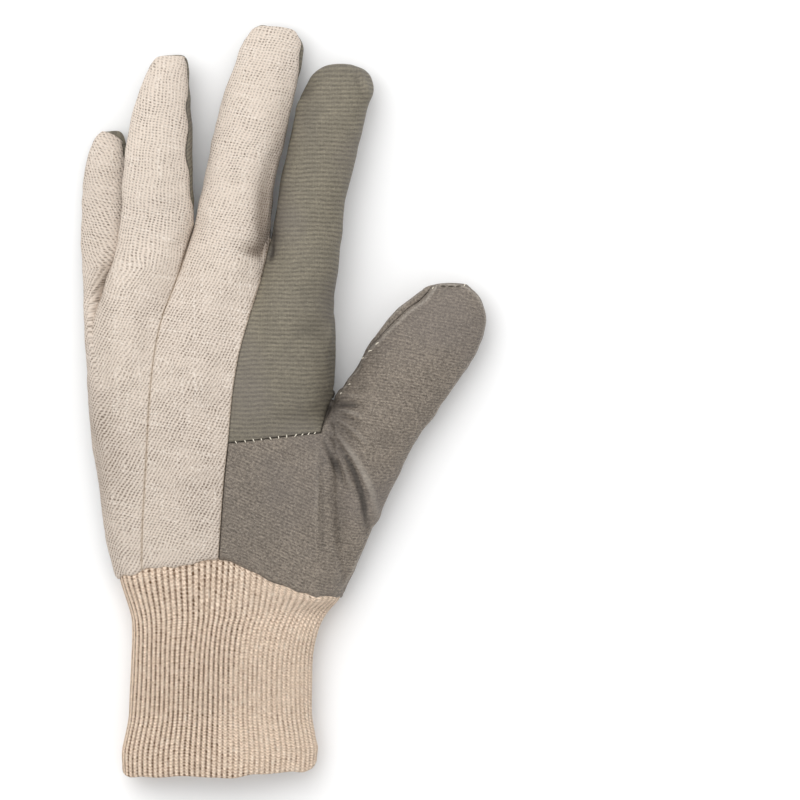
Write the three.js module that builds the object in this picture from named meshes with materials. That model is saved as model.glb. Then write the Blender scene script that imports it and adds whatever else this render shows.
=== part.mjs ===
// Left-hand cotton work glove with a vinyl-coated palm and a knitted wrist.
// It lies palm down: +Y runs to the fingertips, +X to the thumb, +Z up from the surface. Millimetres.
// The origin is the middle of the glove's footprint, at the surface it lies on.
//
// The woven part is one closed skin of sheets. Each sheet spans two side lines, the rails, and arches
// between them. Sheets that meet share a rail, so the skin has no cracks, and the cloth pieces are cut
// from it along the sewn lines.

import * as THREE from "three";
import { mergeVertices } from "three/addons/utils/BufferGeometryUtils.js";

// Cloth
const CLOTH_THICKNESS = 1.3;
const KNIT_THICKNESS = 2.0;
const SEAM_GAP = 0.4; // between two cloth pieces
const SEAM_CORNER = 0.2; // where pieces meet in a point, the gap grows to at most 1 / this many times itself
const CUFF_GAP = 0.5; // between the cloth and the knitted wrist
const CROTCH_SHARE = 0.4; // cloth is at most this share of the room where two sheets close on each other
const THINNEST_CLOTH = 0.3;

// How finely the sheets are divided
const STEPS_PER_HAND_ROW = 2;
const STEPS_PER_FINGER_ROW = 2;
const STEPS_PER_THUMB_ROW = 1;
const COLUMNS = { little: 6, ring: 7, middle: 7, index: 7 };
const CUFF_STEPS_PER_ROW = 1;

// Rows of the hand, counted from the wrist: the back seam under the index finger and the thumb crotch
const BACK_SEAM_ROW = 3;
const THUMB_CROTCH_ROW = 4;

// Vertices closer than this are one vertex
const SAME_VERTEX = 0.001;

const table = (columns, rows) =>
  rows.map((row) => Object.fromEntries(columns.split(" ").map((name, i) => [name, row[i]])));

// Rails of the hand: nine rows each, from the wrist seam to the finger crotches.
// The outer side of the hand, where back and palm are sewn together
const OUTER_SIDE = table("x y z", [
  [-40.3, -1.0, 10.0],
  [-43.9, 14.8, 10.5],
  [-46.5, 33.0, 11.0],
  [-48.7, 47.0, 11.0],
  [-50.0, 60.0, 11.0],
  [-50.8, 74.0, 10.5],
  [-51.3, 87.0, 10.0],
  [-51.9, 98.0, 9.5],
  [-52.3, 108.0, 9.0],
]);
// The valley on the back between the little and ring fingers, a fold and not a seam
const LITTLE_RING_BACK = table("x y z", [
  [-33.5, 0.0, 18.5],
  [-38.5, 17.0, 20.5],
  [-41.5, 33.0, 22.0],
  [-43.5, 47.5, 23.0],
  [-45.0, 61.0, 23.0],
  [-45.8, 75.0, 22.0],
  [-45.6, 88.0, 19.5],
  [-42.5, 101.0, 15.5],
  [-36.0, 113.0, 11.0],
]);
// The sewn line on the back between the ring and middle fingers
const RING_MIDDLE_BACK = table("x y z", [
  [-31.0, 1.5, 19.5],
  [-30.6, 16.0, 23.5],
  [-29.7, 32.0, 25.5],
  [-28.8, 48.0, 26.8],
  [-28.0, 62.5, 27.2],
  [-26.4, 78.0, 26.8],
  [-23.6, 92.0, 25.0],
  [-17.7, 108.0, 21.0],
  [-12.0, 126.0, 14.0],
]);
// The sewn line on the back between the middle and index fingers
const MIDDLE_INDEX_BACK = table("x y z", [
  [-3.2, 5.4, 22.5],
  [-2.4, 18.0, 25.5],
  [-1.2, 34.0, 27.5],
  [0.3, 47.5, 28.8],
  [1.6, 63.0, 29.4],
  [4.0, 78.5, 29.2],
  [7.6, 92.0, 27.8],
  [12.0, 107.0, 23.5],
  [15.4, 121.0, 15.0],
]);
// The fold into the thumb, then from the thumb crotch the rounded side of the index finger
const THUMB_SIDE_BACK = table("x y z", [
  [31.5, -8.3, 20.0],
  [31.8, 12.0, 24.0],
  [32.4, 32.0, 26.0],
  [33.5, 51.5, 24.5],
  [37.0, 63.0, 13.0],
  [38.5, 78.0, 14.0],
  [37.6, 95.0, 14.5],
  [39.4, 111.0, 15.0],
  [41.0, 125.0, 15.5],
]);
const LITTLE_RING_PALM = table("x y z", [
  [-28.0, -0.5, 0.3],
  [-30.0, 15.0, 0],
  [-32.5, 31.0, 0],
  [-34.5, 46.0, 0],
  [-36.0, 60.0, 0],
  [-37.0, 74.0, 0],
  [-37.6, 88.0, 1.2],
  [-37.4, 101.0, 4.5],
  [-36.0, 113.0, 11.0],
]);
const RING_MIDDLE_PALM = table("x y z", [
  [-10.0, 1.0, 0.3],
  [-11.5, 17.0, 0],
  [-12.5, 33.0, 0],
  [-13.2, 48.0, 0],
  [-13.6, 63.0, 0],
  [-13.6, 79.0, 0],
  [-13.2, 95.0, 1.0],
  [-12.6, 111.0, 5.0],
  [-12.0, 126.0, 14.0],
]);
// The palm's seam: beside the thumb up to its crotch, then slanting across to the index finger's crotch
const THUMB_SEAM_PALM = table("x y z", [
  [31.5, -4.5, 0.8],
  [31.8, 12.0, 0],
  [32.4, 32.0, 0.4],
  [34.0, 50.0, 3.0],
  [37.0, 63.0, 13.0],
  [31.0, 78.0, 2.5],
  [25.5, 92.0, 1.5],
  [20.3, 107.0, 4.5],
  [15.4, 121.0, 15.0],
]);

// How far each lane rises above its rails on the back, and drops below them on the palm, row by row
const BACK_CROWN = {
  little: [0.5, 0.5, 0.5, 0.5, 0.5, 1.0, 2.0, 3.5, 6.0],
  ring: [0.2, 1.0, 1.6, 2.0, 2.4, 3.2, 5.0, 8.5, 12.0],
  middle: [2.2, 1.6, 1.6, 1.8, 2.0, 2.4, 3.4, 6.2, 11.5],
  index: [1.5, 1.8, 2.0, 2.6, 7.5, 8.5, 8.5, 8.8, 10.0],
};
const PALM_CROWN = {
  little: [0.5, 0, 0, 0, 0, 0, 0.5, 2.5, 5.0],
  ring: [0.3, 0, 0, 0, 0, 0, 0.2, 1.0, 5.0],
  middle: [0, 0, 0, 0, 0, 0, 0.6, 2.0, 8.0],
  index: [0, 0, 0, 0, 0, 3.0, 5.0, 7.0, 8.5],
};
// How steeply a sheet meets a rail: 0 runs on across it, 1 stands upright on it as at a finger's side
const VALLEY_STEEPNESS = [0, 0, 0, 0, 0, 0, 0.2, 0.55, 1];
const UPRIGHT = VALLEY_STEEPNESS.map(() => 1);
const THUMB_SIDE_STEEPNESS = [0, 0, 0, 0.15, 1, 1, 1, 1, 1];
const THUMB_SEAM_STEEPNESS = [0, 0, 0, 0.15, 1, 0.1, 0, 0.4, 1];

// Fingers, from the crotch row to the tip: left and right side lines, rise of the back, drop of the
// palm side, and how far the row bows forward
const DIGIT_COLUMNS = "xl yl zl xr yr zr up down bow";
const LITTLE = table(DIGIT_COLUMNS, [
  [-52.3, 108.0, 9.0, -36.0, 113.0, 11.0, 6.0, 5.0, 0],
  [-53.0, 120.0, 8.4, -34.8, 121.0, 7.6, 6.4, 6.2, 0],
  [-52.7, 132.0, 8.0, -34.4, 132.0, 6.8, 6.5, 6.2, 0],
  [-51.8, 144.0, 7.6, -34.9, 143.0, 6.5, 6.3, 6.0, 0],
  [-50.2, 152.0, 7.2, -35.8, 150.5, 6.5, 5.8, 5.6, 0.3],
  [-48.4, 156.8, 7.0, -37.0, 154.6, 6.5, 4.4, 4.4, 0.8],
  [-46.6, 159.4, 6.8, -38.6, 157.2, 6.5, 0, 0, 1.2],
]);
const RING = table(DIGIT_COLUMNS, [
  [-36.0, 113.0, 11.0, -12.0, 126.0, 14.0, 12.0, 5.0, 0],
  [-38.0, 122.0, 16.0, -12.4, 134.0, 16.0, 9.0, 7.6, 0],
  [-37.8, 134.0, 17.5, -12.7, 145.5, 16.0, 8.6, 7.8, 0],
  [-37.2, 147.0, 17.0, -12.7, 157.5, 15.0, 8.4, 7.8, 0],
  [-35.6, 159.5, 15.0, -13.2, 167.5, 13.4, 8.0, 7.4, 0],
  [-31.8, 173.5, 12.4, -13.8, 176.5, 11.8, 7.2, 6.8, 0.3],
  [-28.6, 182.0, 10.8, -14.4, 182.6, 10.6, 5.0, 5.0, 0.6],
  [-26.0, 186.0, 10.0, -16.0, 186.2, 10.0, 0, 0, 0.8],
]);
const MIDDLE = table(DIGIT_COLUMNS, [
  [-12.0, 126.0, 14.0, 15.4, 121.0, 15.0, 11.5, 8.0, 0],
  [-10.3, 133.0, 15.5, 16.4, 131.0, 15.8, 9.5, 8.8, 0],
  [-7.8, 145.0, 15.3, 18.4, 143.0, 15.4, 9.2, 8.8, 0],
  [-5.2, 157.0, 14.4, 20.4, 155.0, 14.4, 9.0, 8.5, 0],
  [-2.4, 169.0, 12.6, 22.6, 167.0, 12.8, 8.5, 8.0, 0],
  [1.2, 180.0, 10.6, 25.4, 178.5, 10.8, 7.8, 7.4, 0.4],
  [4.8, 190.4, 8.6, 26.9, 189.5, 8.8, 5.6, 5.6, 1.0],
  [8.0, 196.0, 7.8, 24.8, 195.0, 7.8, 0, 0, 2.0],
]);
const INDEX = table(DIGIT_COLUMNS, [
  [15.4, 121.0, 15.0, 41.0, 125.0, 15.5, 10.0, 8.5, 0],
  [17.4, 132.0, 16.0, 42.4, 135.0, 15.2, 9.4, 9.0, 0],
  [20.0, 144.0, 15.6, 45.0, 146.0, 14.6, 9.2, 9.0, 0],
  [22.3, 156.0, 14.6, 47.9, 157.0, 13.6, 9.0, 8.6, 0],
  [24.2, 166.5, 12.8, 50.0, 167.5, 12.2, 8.6, 8.2, 0],
  [27.0, 174.0, 11.2, 52.3, 174.0, 10.8, 7.8, 7.6, 0.4],
  [30.4, 180.0, 9.6, 50.8, 179.8, 9.4, 5.2, 5.4, 0.8],
  [34.6, 183.0, 8.8, 45.6, 183.0, 8.8, 0, 0, 0.8],
]);
// The thumb. Its first row is the fold on the back and the seam on the palm, and its right side starts
// at the corner of the wrist in the second row.
const THUMB = table(DIGIT_COLUMNS, [
  [37.0, 63.0, 13.0, 31.5, -8.3, 10.0, 12.0, 10.0, 0],
  [39.0, 66.4, 12.8, 41.6, -7.4, 10.2, 12.0, 9.8, 0],
  [41.6, 68.9, 12.7, 47.0, 5.4, 10.4, 12.2, 10.2, 0],
  [44.8, 72.6, 12.6, 54.0, 21.6, 10.8, 12.4, 10.6, 0],
  [47.2, 76.0, 12.4, 60.4, 34.5, 11.0, 12.2, 10.6, 0],
  [49.2, 80.2, 12.2, 66.2, 46.5, 11.2, 11.6, 10.4, 0],
  [51.4, 85.0, 12.0, 73.0, 56.0, 11.2, 11.0, 10.2, 0],
  [54.2, 90.4, 11.6, 79.6, 65.6, 11.0, 10.4, 9.8, 0],
  [58.0, 95.2, 11.2, 86.0, 74.6, 10.6, 9.8, 9.4, 0],
  [63.2, 99.8, 10.6, 90.6, 83.0, 10.2, 9.0, 8.8, 0],
  [68.4, 103.2, 10.0, 92.8, 91.5, 9.8, 7.2, 7.4, 0.6],
  [71.6, 104.9, 9.6, 92.6, 98.0, 9.5, 4.6, 4.8, 1.0],
  [75.0, 105.6, 9.4, 89.6, 102.6, 9.4, 0, 0, 1.4],
]);
const THUMB_BLEND_ROWS = 3; // rows over which the fold turns into the thumb's own section

// Knitted wrist, from under the seam to the mouth: y, middle x, half width, half height
const CUFF = table("y x half_width half_height", [
  [-13.0, 0.2, 35.4, 10.9],
  [-19.0, -1.0, 33.4, 10.7],
  [-28.0, -2.1, 32.5, 10.5],
  [-39.0, -2.5, 32.4, 10.2],
  [-50.0, -2.7, 32.8, 9.9],
  [-57.0, -2.8, 34.0, 9.7],
  [-64.0, -2.9, 35.1, 9.5],
  [-71.3, -3.1, 34.9, 9.3],
]);
const CUFF_SQUARENESS = 0.82; // below 1 flattens the wrist's top and the side that it rests on

// Main dents and folds: a ridge (rise above 0) or groove (below 0) from one plan point to another
const FOLDS = table("side x0 y0 x1 y1 width rise", [
  ["back", 30.0, 50.0, 50.0, 14.0, 4.0, -1.6],
  ["back", 36.0, 52.0, 58.0, 30.0, 4.0, -1.3],
  ["back", 33.0, 48.0, 41.0, 4.0, 4.0, 1.0],
  ["back", 10.0, 112.0, 2.0, 118.0, 6.0, -2.4],
  ["back", -36.0, 96.0, -33.0, 60.0, 8.0, 1.0],
  ["palm", 4.0, 78.0, 27.0, 44.0, 6.0, -0.9],
  ["palm", 4.0, 20.0, 27.0, 6.0, 5.0, -0.7],
]);

const point = (row) => new THREE.Vector3(row.x, row.y, row.z);

// Numbers or points between the rows of a table, passing through each row, with steps divisions a row.
function between(values, steps) {
  const isPoint = values[0].isVector3;
  const knots = values.map((v) => (isPoint ? v : new THREE.Vector3(v, 0, 0)));
  const curve = new THREE.CatmullRomCurve3(knots, false, "catmullrom", 0.5);
  const count = (values.length - 1) * steps;
  const found = Array.from({ length: count + 1 }, (_, i) => curve.getPoint(i / count));
  return isPoint ? found : found.map((v) => v.x);
}

// One row of a sheet: a function of the share v of the way across, from its left to its right rail.
function arch({ left, right, crown, steepLeft, steepRight, bow = 0 }) {
  const across = right.clone().sub(left).setZ(0).normalize();
  const forward = new THREE.Vector3(-across.y, across.x, 0);
  const shares = [
    (1 - steepLeft) * (1 - steepRight),
    steepLeft * steepRight,
    steepLeft * (1 - steepRight),
    (1 - steepLeft) * steepRight,
  ];
  return (v) => {
    if (v === 0) return left.clone();
    if (v === 1) return right.clone();
    const quarter = (v * Math.PI) / 2;
    const half = (1 - Math.cos(v * Math.PI)) / 2;
    const along = [v, half, 1 - Math.cos(quarter), Math.sin(quarter)];
    const climb = [v, half, Math.sin(quarter), 1 - Math.cos(quarter)];
    const mix = (list) => shares.reduce((sum, share, i) => sum + share * list[i], 0);
    const place = left.clone().lerp(right, mix(along));
    const swell = Math.sin(v * Math.PI);
    place.z = THREE.MathUtils.lerp(left.z, right.z, mix(climb)) + crown * swell;
    return place.addScaledVector(forward, bow * swell);
  };
}

// A grid of points, rows from first to last and columns from left to right.
const grid = (rows, columns) =>
  rows.map((row) => Array.from({ length: columns + 1 }, (_, j) => row(j / columns)));

// The part of a lane on the hand, up to the finger crotches.
function handSheet(left, right, crowns, steepLeft, steepRight, columns) {
  const fine = (values) => between(values, STEPS_PER_HAND_ROW);
  const [crown, sl, sr] = [crowns, steepLeft, steepRight].map(fine);
  const rows = left.map((l, i) =>
    arch({ left: l, right: right[i], crown: crown[i], steepLeft: sl[i], steepRight: sr[i] }),
  );
  return grid(rows, columns);
}

// A finger's back (side 1) or palm side (side -1), from the crotch row to the tip.
function fingerSheet(digit, side, columns) {
  const fine = (pick) => between(digit.map(pick), STEPS_PER_FINGER_ROW);
  const left = fine((r) => new THREE.Vector3(r.xl, r.yl, r.zl));
  const right = fine((r) => new THREE.Vector3(r.xr, r.yr, r.zr));
  const crown = fine((r) => (side > 0 ? r.up : -r.down));
  const bow = fine((r) => r.bow);
  const rows = left.map((l, i) =>
    arch({ left: l, right: right[i], crown: crown[i], steepLeft: 1, steepRight: 1, bow: bow[i] }),
  );
  return grid(rows, columns);
}

// The thumb's back or palm side. Its first row is the given edge of the hand, from the crotch to the wrist.
function thumbSheet(edge, side) {
  const fine = (rows, pick) => between(rows.map(pick), STEPS_PER_THUMB_ROW);
  const left = fine(THUMB, (r) => new THREE.Vector3(r.xl, r.yl, r.zl));
  const crown = fine(THUMB, (r) => (side > 0 ? r.up : -r.down));
  const bow = fine(THUMB, (r) => r.bow);
  const silhouette = fine(THUMB.slice(1), (r) => new THREE.Vector3(r.xr, r.yr, r.zr));
  const wristEnd = edge[edge.length - 1];
  const corner = silhouette[0];
  // Round the end of the wrist, from the edge's last point to the corner
  const opening = Array.from({ length: STEPS_PER_THUMB_ROW }, (_, i) => {
    const turn = ((i / STEPS_PER_THUMB_ROW) * Math.PI) / 2;
    const place = wristEnd.clone().lerp(corner, Math.sin(turn));
    place.z = THREE.MathUtils.lerp(corner.z, wristEnd.z, Math.cos(turn));
    return place;
  });
  const right = [...opening, ...silhouette];
  const columns = edge.length - 1;
  return left.map((l, i) => {
    const sides = { left: l, right: right[i], steepLeft: 1, steepRight: 1 };
    const row = arch({ ...sides, crown: crown[i], bow: bow[i] });
    const own = THREE.MathUtils.smoothstep(i / STEPS_PER_THUMB_ROW, 0, THUMB_BLEND_ROWS);
    return edge.map((start, j) => {
      const v = j / columns;
      const carried = start
        .clone()
        .addScaledVector(l.clone().sub(left[0]), 1 - v)
        .addScaledVector(right[i].clone().sub(right[0]), v);
      return carried.lerp(row(v), own);
    });
  });
}

const rail = (rows) => between(rows.map(point), STEPS_PER_HAND_ROW);
const column = (sheet, j) => sheet.map((row) => row[j < 0 ? row.length + j : j]);
const backSeam = BACK_SEAM_ROW * STEPS_PER_HAND_ROW;
const thumbCrotch = THUMB_CROTCH_ROW * STEPS_PER_HAND_ROW;

const outer = rail(OUTER_SIDE);
const thumbSideBack = rail(THUMB_SIDE_BACK);
const thumbSeamPalm = rail(THUMB_SEAM_PALM);
const backRails = [
  outer,
  rail(LITTLE_RING_BACK),
  rail(RING_MIDDLE_BACK),
  rail(MIDDLE_INDEX_BACK),
  thumbSideBack,
];
const palmRails = [outer, rail(LITTLE_RING_PALM), rail(RING_MIDDLE_PALM), thumbSeamPalm];
const backSteepness = [
  UPRIGHT,
  VALLEY_STEEPNESS,
  VALLEY_STEEPNESS,
  VALLEY_STEEPNESS,
  THUMB_SIDE_STEEPNESS,
];
const palmSteepness = [UPRIGHT, VALLEY_STEEPNESS, VALLEY_STEEPNESS, THUMB_SEAM_STEEPNESS];
const lanes = ["little", "ring", "middle", "index"];

const backHand = lanes.map((name, i) =>
  handSheet(
    backRails[i],
    backRails[i + 1],
    BACK_CROWN[name],
    backSteepness[i],
    backSteepness[i + 1],
    COLUMNS[name],
  ),
);
const palmHand = lanes.slice(0, 3).map((name, i) =>
  handSheet(
    palmRails[i],
    palmRails[i + 1],
    PALM_CROWN[name].map((c) => -c),
    palmSteepness[i],
    palmSteepness[i + 1],
    COLUMNS[name],
  ),
);
// The index finger's palm side starts as a point at the thumb crotch and widens to the finger
const indexPalmHand = handSheet(
  thumbSeamPalm,
  thumbSideBack,
  PALM_CROWN.index.map((c) => -c),
  THUMB_SEAM_STEEPNESS,
  THUMB_SIDE_STEEPNESS,
  COLUMNS.index,
).slice(thumbCrotch);

const digits = { little: LITTLE, ring: RING, middle: MIDDLE, index: INDEX };
const finger = (name, side) => fingerSheet(digits[name], side, COLUMNS[name]);
const foldIntoThumb = column(backHand[3], -1).slice(0, thumbCrotch + 1).reverse();
const seamIntoThumb = column(palmHand[2], -1).slice(0, thumbCrotch + 1).reverse();

// Each cloth piece is the sheets that it is cut from. A sheet is a grid, and palm sheets face down.
const PIECES = {
  back_panel_outer: [
    { sheet: backHand[0], up: true },
    { sheet: backHand[1], up: true },
    { sheet: finger("little", 1), up: true },
    { sheet: finger("ring", 1), up: true },
  ],
  back_panel_middle: [
    { sheet: backHand[2], up: true },
    { sheet: finger("middle", 1), up: true },
  ],
  index_finger_wrap: [
    { sheet: backHand[3].slice(backSeam), up: true },
    { sheet: finger("index", 1), up: true },
    { sheet: indexPalmHand, up: false },
    { sheet: finger("index", -1), up: false },
  ],
  thumb_back_panel: [
    { sheet: backHand[3].slice(0, backSeam + 1), up: true },
    { sheet: thumbSheet(foldIntoThumb, 1), up: true },
  ],
  thumb_front_panel: [{ sheet: thumbSheet(seamIntoThumb, -1), up: false }],
  palm_panel: [
    { sheet: palmHand[0], up: false },
    { sheet: palmHand[1], up: false },
    { sheet: palmHand[2], up: false },
    { sheet: finger("little", -1), up: false },
    { sheet: finger("ring", -1), up: false },
    { sheet: finger("middle", -1), up: false },
  ],
};

// How much a fold raises the cloth at a plan point: full along its middle and nothing past its ends.
function foldRise(fold, place) {
  const run = new THREE.Vector2(fold.x1 - fold.x0, fold.y1 - fold.y0);
  const from = new THREE.Vector2(place.x - fold.x0, place.y - fold.y0);
  const along = from.dot(run) / run.lengthSq();
  if (along <= 0 || along >= 1) return 0;
  const aside = Math.abs(from.cross(run)) / run.length() / fold.width;
  return fold.rise * Math.sin(along * Math.PI) * Math.exp(-aside * aside);
}

// Vertices shared by all sheets, so that neighbouring pieces agree on every seam.
class Skin {
  constructor() {
    this.points = [];
    this.triangles = [];
    this.index = new Map();
  }
  vertex(place) {
    const key = [place.x, place.y, place.z].map((c) => Math.round(c / SAME_VERTEX)).join();
    if (!this.index.has(key)) {
      this.index.set(key, this.points.length);
      this.points.push(place.clone());
    }
    return this.index.get(key);
  }
  add(piece, { sheet, up }) {
    for (let i = 0; i + 1 < sheet.length; i++)
      for (let j = 0; j + 1 < sheet[i].length; j++) {
        const [a, b] = [this.vertex(sheet[i][j]), this.vertex(sheet[i][j + 1])];
        const [c, d] = [this.vertex(sheet[i + 1][j + 1]), this.vertex(sheet[i + 1][j])];
        const halves = up ? [[a, b, c], [a, c, d]] : [[a, c, b], [a, d, c]];
        for (const corners of halves)
          if (new Set(corners).size === 3) this.triangles.push({ piece, up, corners });
      }
  }
  // Where a back and a palm sheet close on each other at a tip's corner, both hold the same triangle,
  // facing either way. Neither is part of the skin.
  dropFins() {
    const name = ({ corners }) => [...corners].sort((a, b) => a - b).join();
    const names = this.triangles.map(name);
    this.triangles = this.triangles.filter((_, i) => names.indexOf(names[i]) === names.lastIndexOf(names[i]));
  }
  normals() {
    const sums = this.points.map(() => new THREE.Vector3());
    for (const { corners } of this.triangles) {
      const [a, b, c] = corners.map((i) => this.points[i]);
      const facing = b.clone().sub(a).cross(c.clone().sub(a));
      corners.forEach((i) => sums[i].add(facing));
    }
    return sums.map((n) => n.normalize());
  }
}

const skin = new Skin();
for (const [piece, sheets] of Object.entries(PIECES)) sheets.forEach((s) => skin.add(piece, s));
skin.dropFins();

// Folds move only the vertices that all their triangles agree belong to that side.
const sideOf = skin.points.map(() => new Set());
for (const { up, corners } of skin.triangles) corners.forEach((i) => sideOf[i].add(up ? "back" : "palm"));
const flatNormals = skin.normals();
skin.points.forEach((place, i) => {
  if (sideOf[i].size > 1) return;
  const rise = FOLDS.filter((f) => sideOf[i].has(f.side)).reduce((sum, f) => sum + foldRise(f, place), 0);
  place.addScaledVector(flatNormals[i], rise);
  place.z = Math.max(place.z, 0);
});
const normals = skin.normals();

function bufferGeometry(points, corners) {
  const geometry = new THREE.BufferGeometry().setFromPoints(points);
  geometry.setIndex(corners.flat());
  return geometry;
}

// Cloth thickness at each vertex: full, but less where the opposite sheet is close, as at the crotches.
function clothDepths() {
  const mesh = new THREE.Mesh(
    bufferGeometry(skin.points, skin.triangles.map((t) => t.corners)),
    new THREE.MeshBasicMaterial({ side: THREE.BackSide }),
  );
  const ray = new THREE.Raycaster();
  const clear = 0.05; // the ray starts this far inside, clear of its own sheet
  return skin.points.map((place, i) => {
    const inward = normals[i].clone().negate();
    ray.set(place.clone().addScaledVector(inward, clear), inward);
    const hits = ray.intersectObject(mesh);
    const room = hits.length ? hits[0].distance : Infinity;
    return Math.min(CLOTH_THICKNESS, Math.max(THINNEST_CLOTH, CROTCH_SHARE * room));
  });
}
const depths = clothDepths();

// A closed wall from a piece's outer triangles: the same cloth moved in, joined round the cut edges.
function clothPiece(piece) {
  const triangles = skin.triangles.filter((t) => t.piece === piece).map((t) => t.corners);
  const edges = new Map();
  for (const corners of triangles) {
    const [p, q, r] = corners.map((v) => skin.points[v]);
    const facing = q.clone().sub(p).cross(r.clone().sub(p)).normalize();
    corners.forEach((a, k) => {
      const b = corners[(k + 1) % 3];
      if (edges.has(`${b},${a}`)) edges.delete(`${b},${a}`);
      else edges.set(`${a},${b}`, { from: a, to: b, facing });
    });
  }
  // Which way each vertex on the cut edge moves to leave the seam's gap: square to the edge, into the piece
  const away = new Map();
  for (const { from, to, facing } of edges.values()) {
    const along = skin.points[to].clone().sub(skin.points[from]).normalize();
    const into = facing.clone().cross(along);
    for (const v of [from, to]) away.set(v, (away.get(v) ?? new THREE.Vector3()).add(into));
  }
  const used = [...new Set(triangles.flat())];
  const place = new Map(used.map((v, i) => [v, i]));
  const inset = (v) => {
    if (!away.has(v)) return new THREE.Vector3();
    const spread = Math.max(away.get(v).length() / 2, SEAM_CORNER);
    return away.get(v).clone().projectOnPlane(normals[v]).setLength(SEAM_GAP / 2 / spread);
  };
  const outside = used.map((v) => skin.points[v].clone().add(inset(v)));
  const inside = used.map((v, i) => outside[i].clone().addScaledVector(normals[v], -depths[v]));
  const shift = used.length;
  const faces = triangles.flatMap((corners) => {
    const [a, b, c] = corners.map((v) => place.get(v));
    return [[a, b, c], [a + shift, c + shift, b + shift]];
  });
  for (const { from, to } of edges.values()) {
    const [a, b] = [place.get(from), place.get(to)];
    // Both pieces of a seam divide its faces along the same diagonal
    if (from < to) faces.push([b, a, a + shift], [b, a + shift, b + shift]);
    else faces.push([b, a, b + shift], [a, a + shift, b + shift]);
  }
  return bufferGeometry([...outside, ...inside], faces);
}

// The loop where the woven part ends at the wrist: over the back to the thumb corner, and back under.
function wristLoop() {
  const thumbOpening = (sheet) => column(sheet, -1).slice(0, STEPS_PER_THUMB_ROW + 1);
  const first = (sheets) => sheets.flatMap((s) => s[0].slice(1));
  const over = [
    outer[0],
    ...first(backHand),
    ...thumbOpening(PIECES.thumb_back_panel[1].sheet).slice(1),
  ];
  const under = [outer[0], ...first(palmHand), ...thumbOpening(PIECES.thumb_front_panel[0].sheet).slice(1)];
  return { over, under };
}

// Share of the way along a line of points, by length.
function shares(points) {
  const lengths = points.map((p, i) => (i ? p.distanceTo(points[i - 1]) : 0));
  let run = 0;
  const sums = lengths.map((l) => (run += l));
  return sums.map((s) => s / run);
}

function knittedWrist() {
  const { over, under } = wristLoop();
  const back = shares(over).map((s, i) => ({ rim: over[i], angle: Math.PI * (1 - s) }));
  const palm = shares(under).map((s, i) => ({ rim: under[i], angle: Math.PI * (s - 1) }));
  const loop = [...back, ...palm.slice(1, -1).reverse()];
  const tall = (c) => Math.sign(c) * Math.abs(c) ** CUFF_SQUARENESS;
  const section = (row, angle, inset) =>
    new THREE.Vector3(
      row.x + (row.half_width - inset) * Math.cos(angle),
      row.y,
      row.half_height + (row.half_height - inset) * tall(Math.sin(angle)),
    );
  const wall = (inset) =>
    loop.map(({ rim, angle }) => {
      const start = rim.clone();
      start.y -= CUFF_GAP;
      const centre = new THREE.Vector3(CUFF[0].x, rim.y, CUFF[0].half_height);
      start.addScaledVector(centre.sub(rim).setY(0).normalize(), inset);
      const knots = [start, ...CUFF.map((row) => section(row, angle, inset))];
      return between(knots, CUFF_STEPS_PER_ROW);
    });
  const outside = wall(0);
  const inside = wall(KNIT_THICKNESS);
  const rows = outside[0].length;
  const points = [...outside.flat(), ...inside.flat()];
  const shift = outside.length * rows;
  const faces = [];
  outside.forEach((_, i) => {
    const [a, b] = [i * rows, ((i + 1) % outside.length) * rows];
    for (let k = 0; k + 1 < rows; k++) {
      faces.push([a + k, b + k, b + k + 1], [a + k, b + k + 1, a + k + 1]);
      const [c, d] = [a + k + shift, b + k + shift];
      faces.push([c, d + 1, d], [c, c + 1, d + 1]);
    }
    const [top, nextTop, end] = [a, b, rows - 1];
    faces.push([top, top + shift, nextTop + shift], [top, nextTop + shift, nextTop]);
    const [low, nextLow] = [a + end, b + end];
    faces.push([low, nextLow + shift, low + shift], [low, nextLow, nextLow + shift]);
  });
  const flipped = faces.map(([a, b, c]) => [a, c, b]);
  return bufferGeometry(points, flipped);
}

const cotton = new THREE.MeshStandardMaterial({ color: 0xdccfbc, roughness: 0.92, metalness: 0 });
const coated = new THREE.MeshStandardMaterial({ color: 0x6f6a60, roughness: 0.6, metalness: 0 });
const coatedBrown = new THREE.MeshStandardMaterial({ color: 0x746c64, roughness: 0.65, metalness: 0 });
const knitted = new THREE.MeshStandardMaterial({ color: 0xd0b999, roughness: 0.95, metalness: 0 });
const MATERIALS = {
  back_panel_outer: cotton,
  back_panel_middle: cotton,
  index_finger_wrap: coated,
  thumb_back_panel: coatedBrown,
  thumb_front_panel: coatedBrown,
  palm_panel: coated,
};

function named(name, geometry, material) {
  const mesh = new THREE.Mesh(mergeVertices(geometry, SAME_VERTEX), material);
  mesh.name = name;
  return mesh;
}

const glove = new THREE.Group();
for (const piece of Object.keys(PIECES)) glove.add(named(piece, clothPiece(piece), MATERIALS[piece]));
glove.add(named("knitted_wrist", knittedWrist(), knitted));

// Put the origin under the middle of the glove
const box = new THREE.Box3().setFromObject(glove);
const middle = box.getCenter(new THREE.Vector3());
glove.children.forEach((mesh) => mesh.geometry.translate(-middle.x, -middle.y, -box.min.z));

export default glove;
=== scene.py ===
"""A left-hand cotton work glove with a coated palm and a knitted wrist, lying palm down.

The shape code works in millimetres, in the frame of the tables below: +Y to the fingertips, +X to the
thumb, +Z up. to_part() turns it into metres in the part's own frame.
"""

import functools
import math

import bpy
import numpy as np
from bpy.props import FloatProperty, FloatVectorProperty, IntProperty, PointerProperty
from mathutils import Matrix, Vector, noise
from mathutils.bvhtree import BVHTree
from mathutils.kdtree import KDTree


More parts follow.
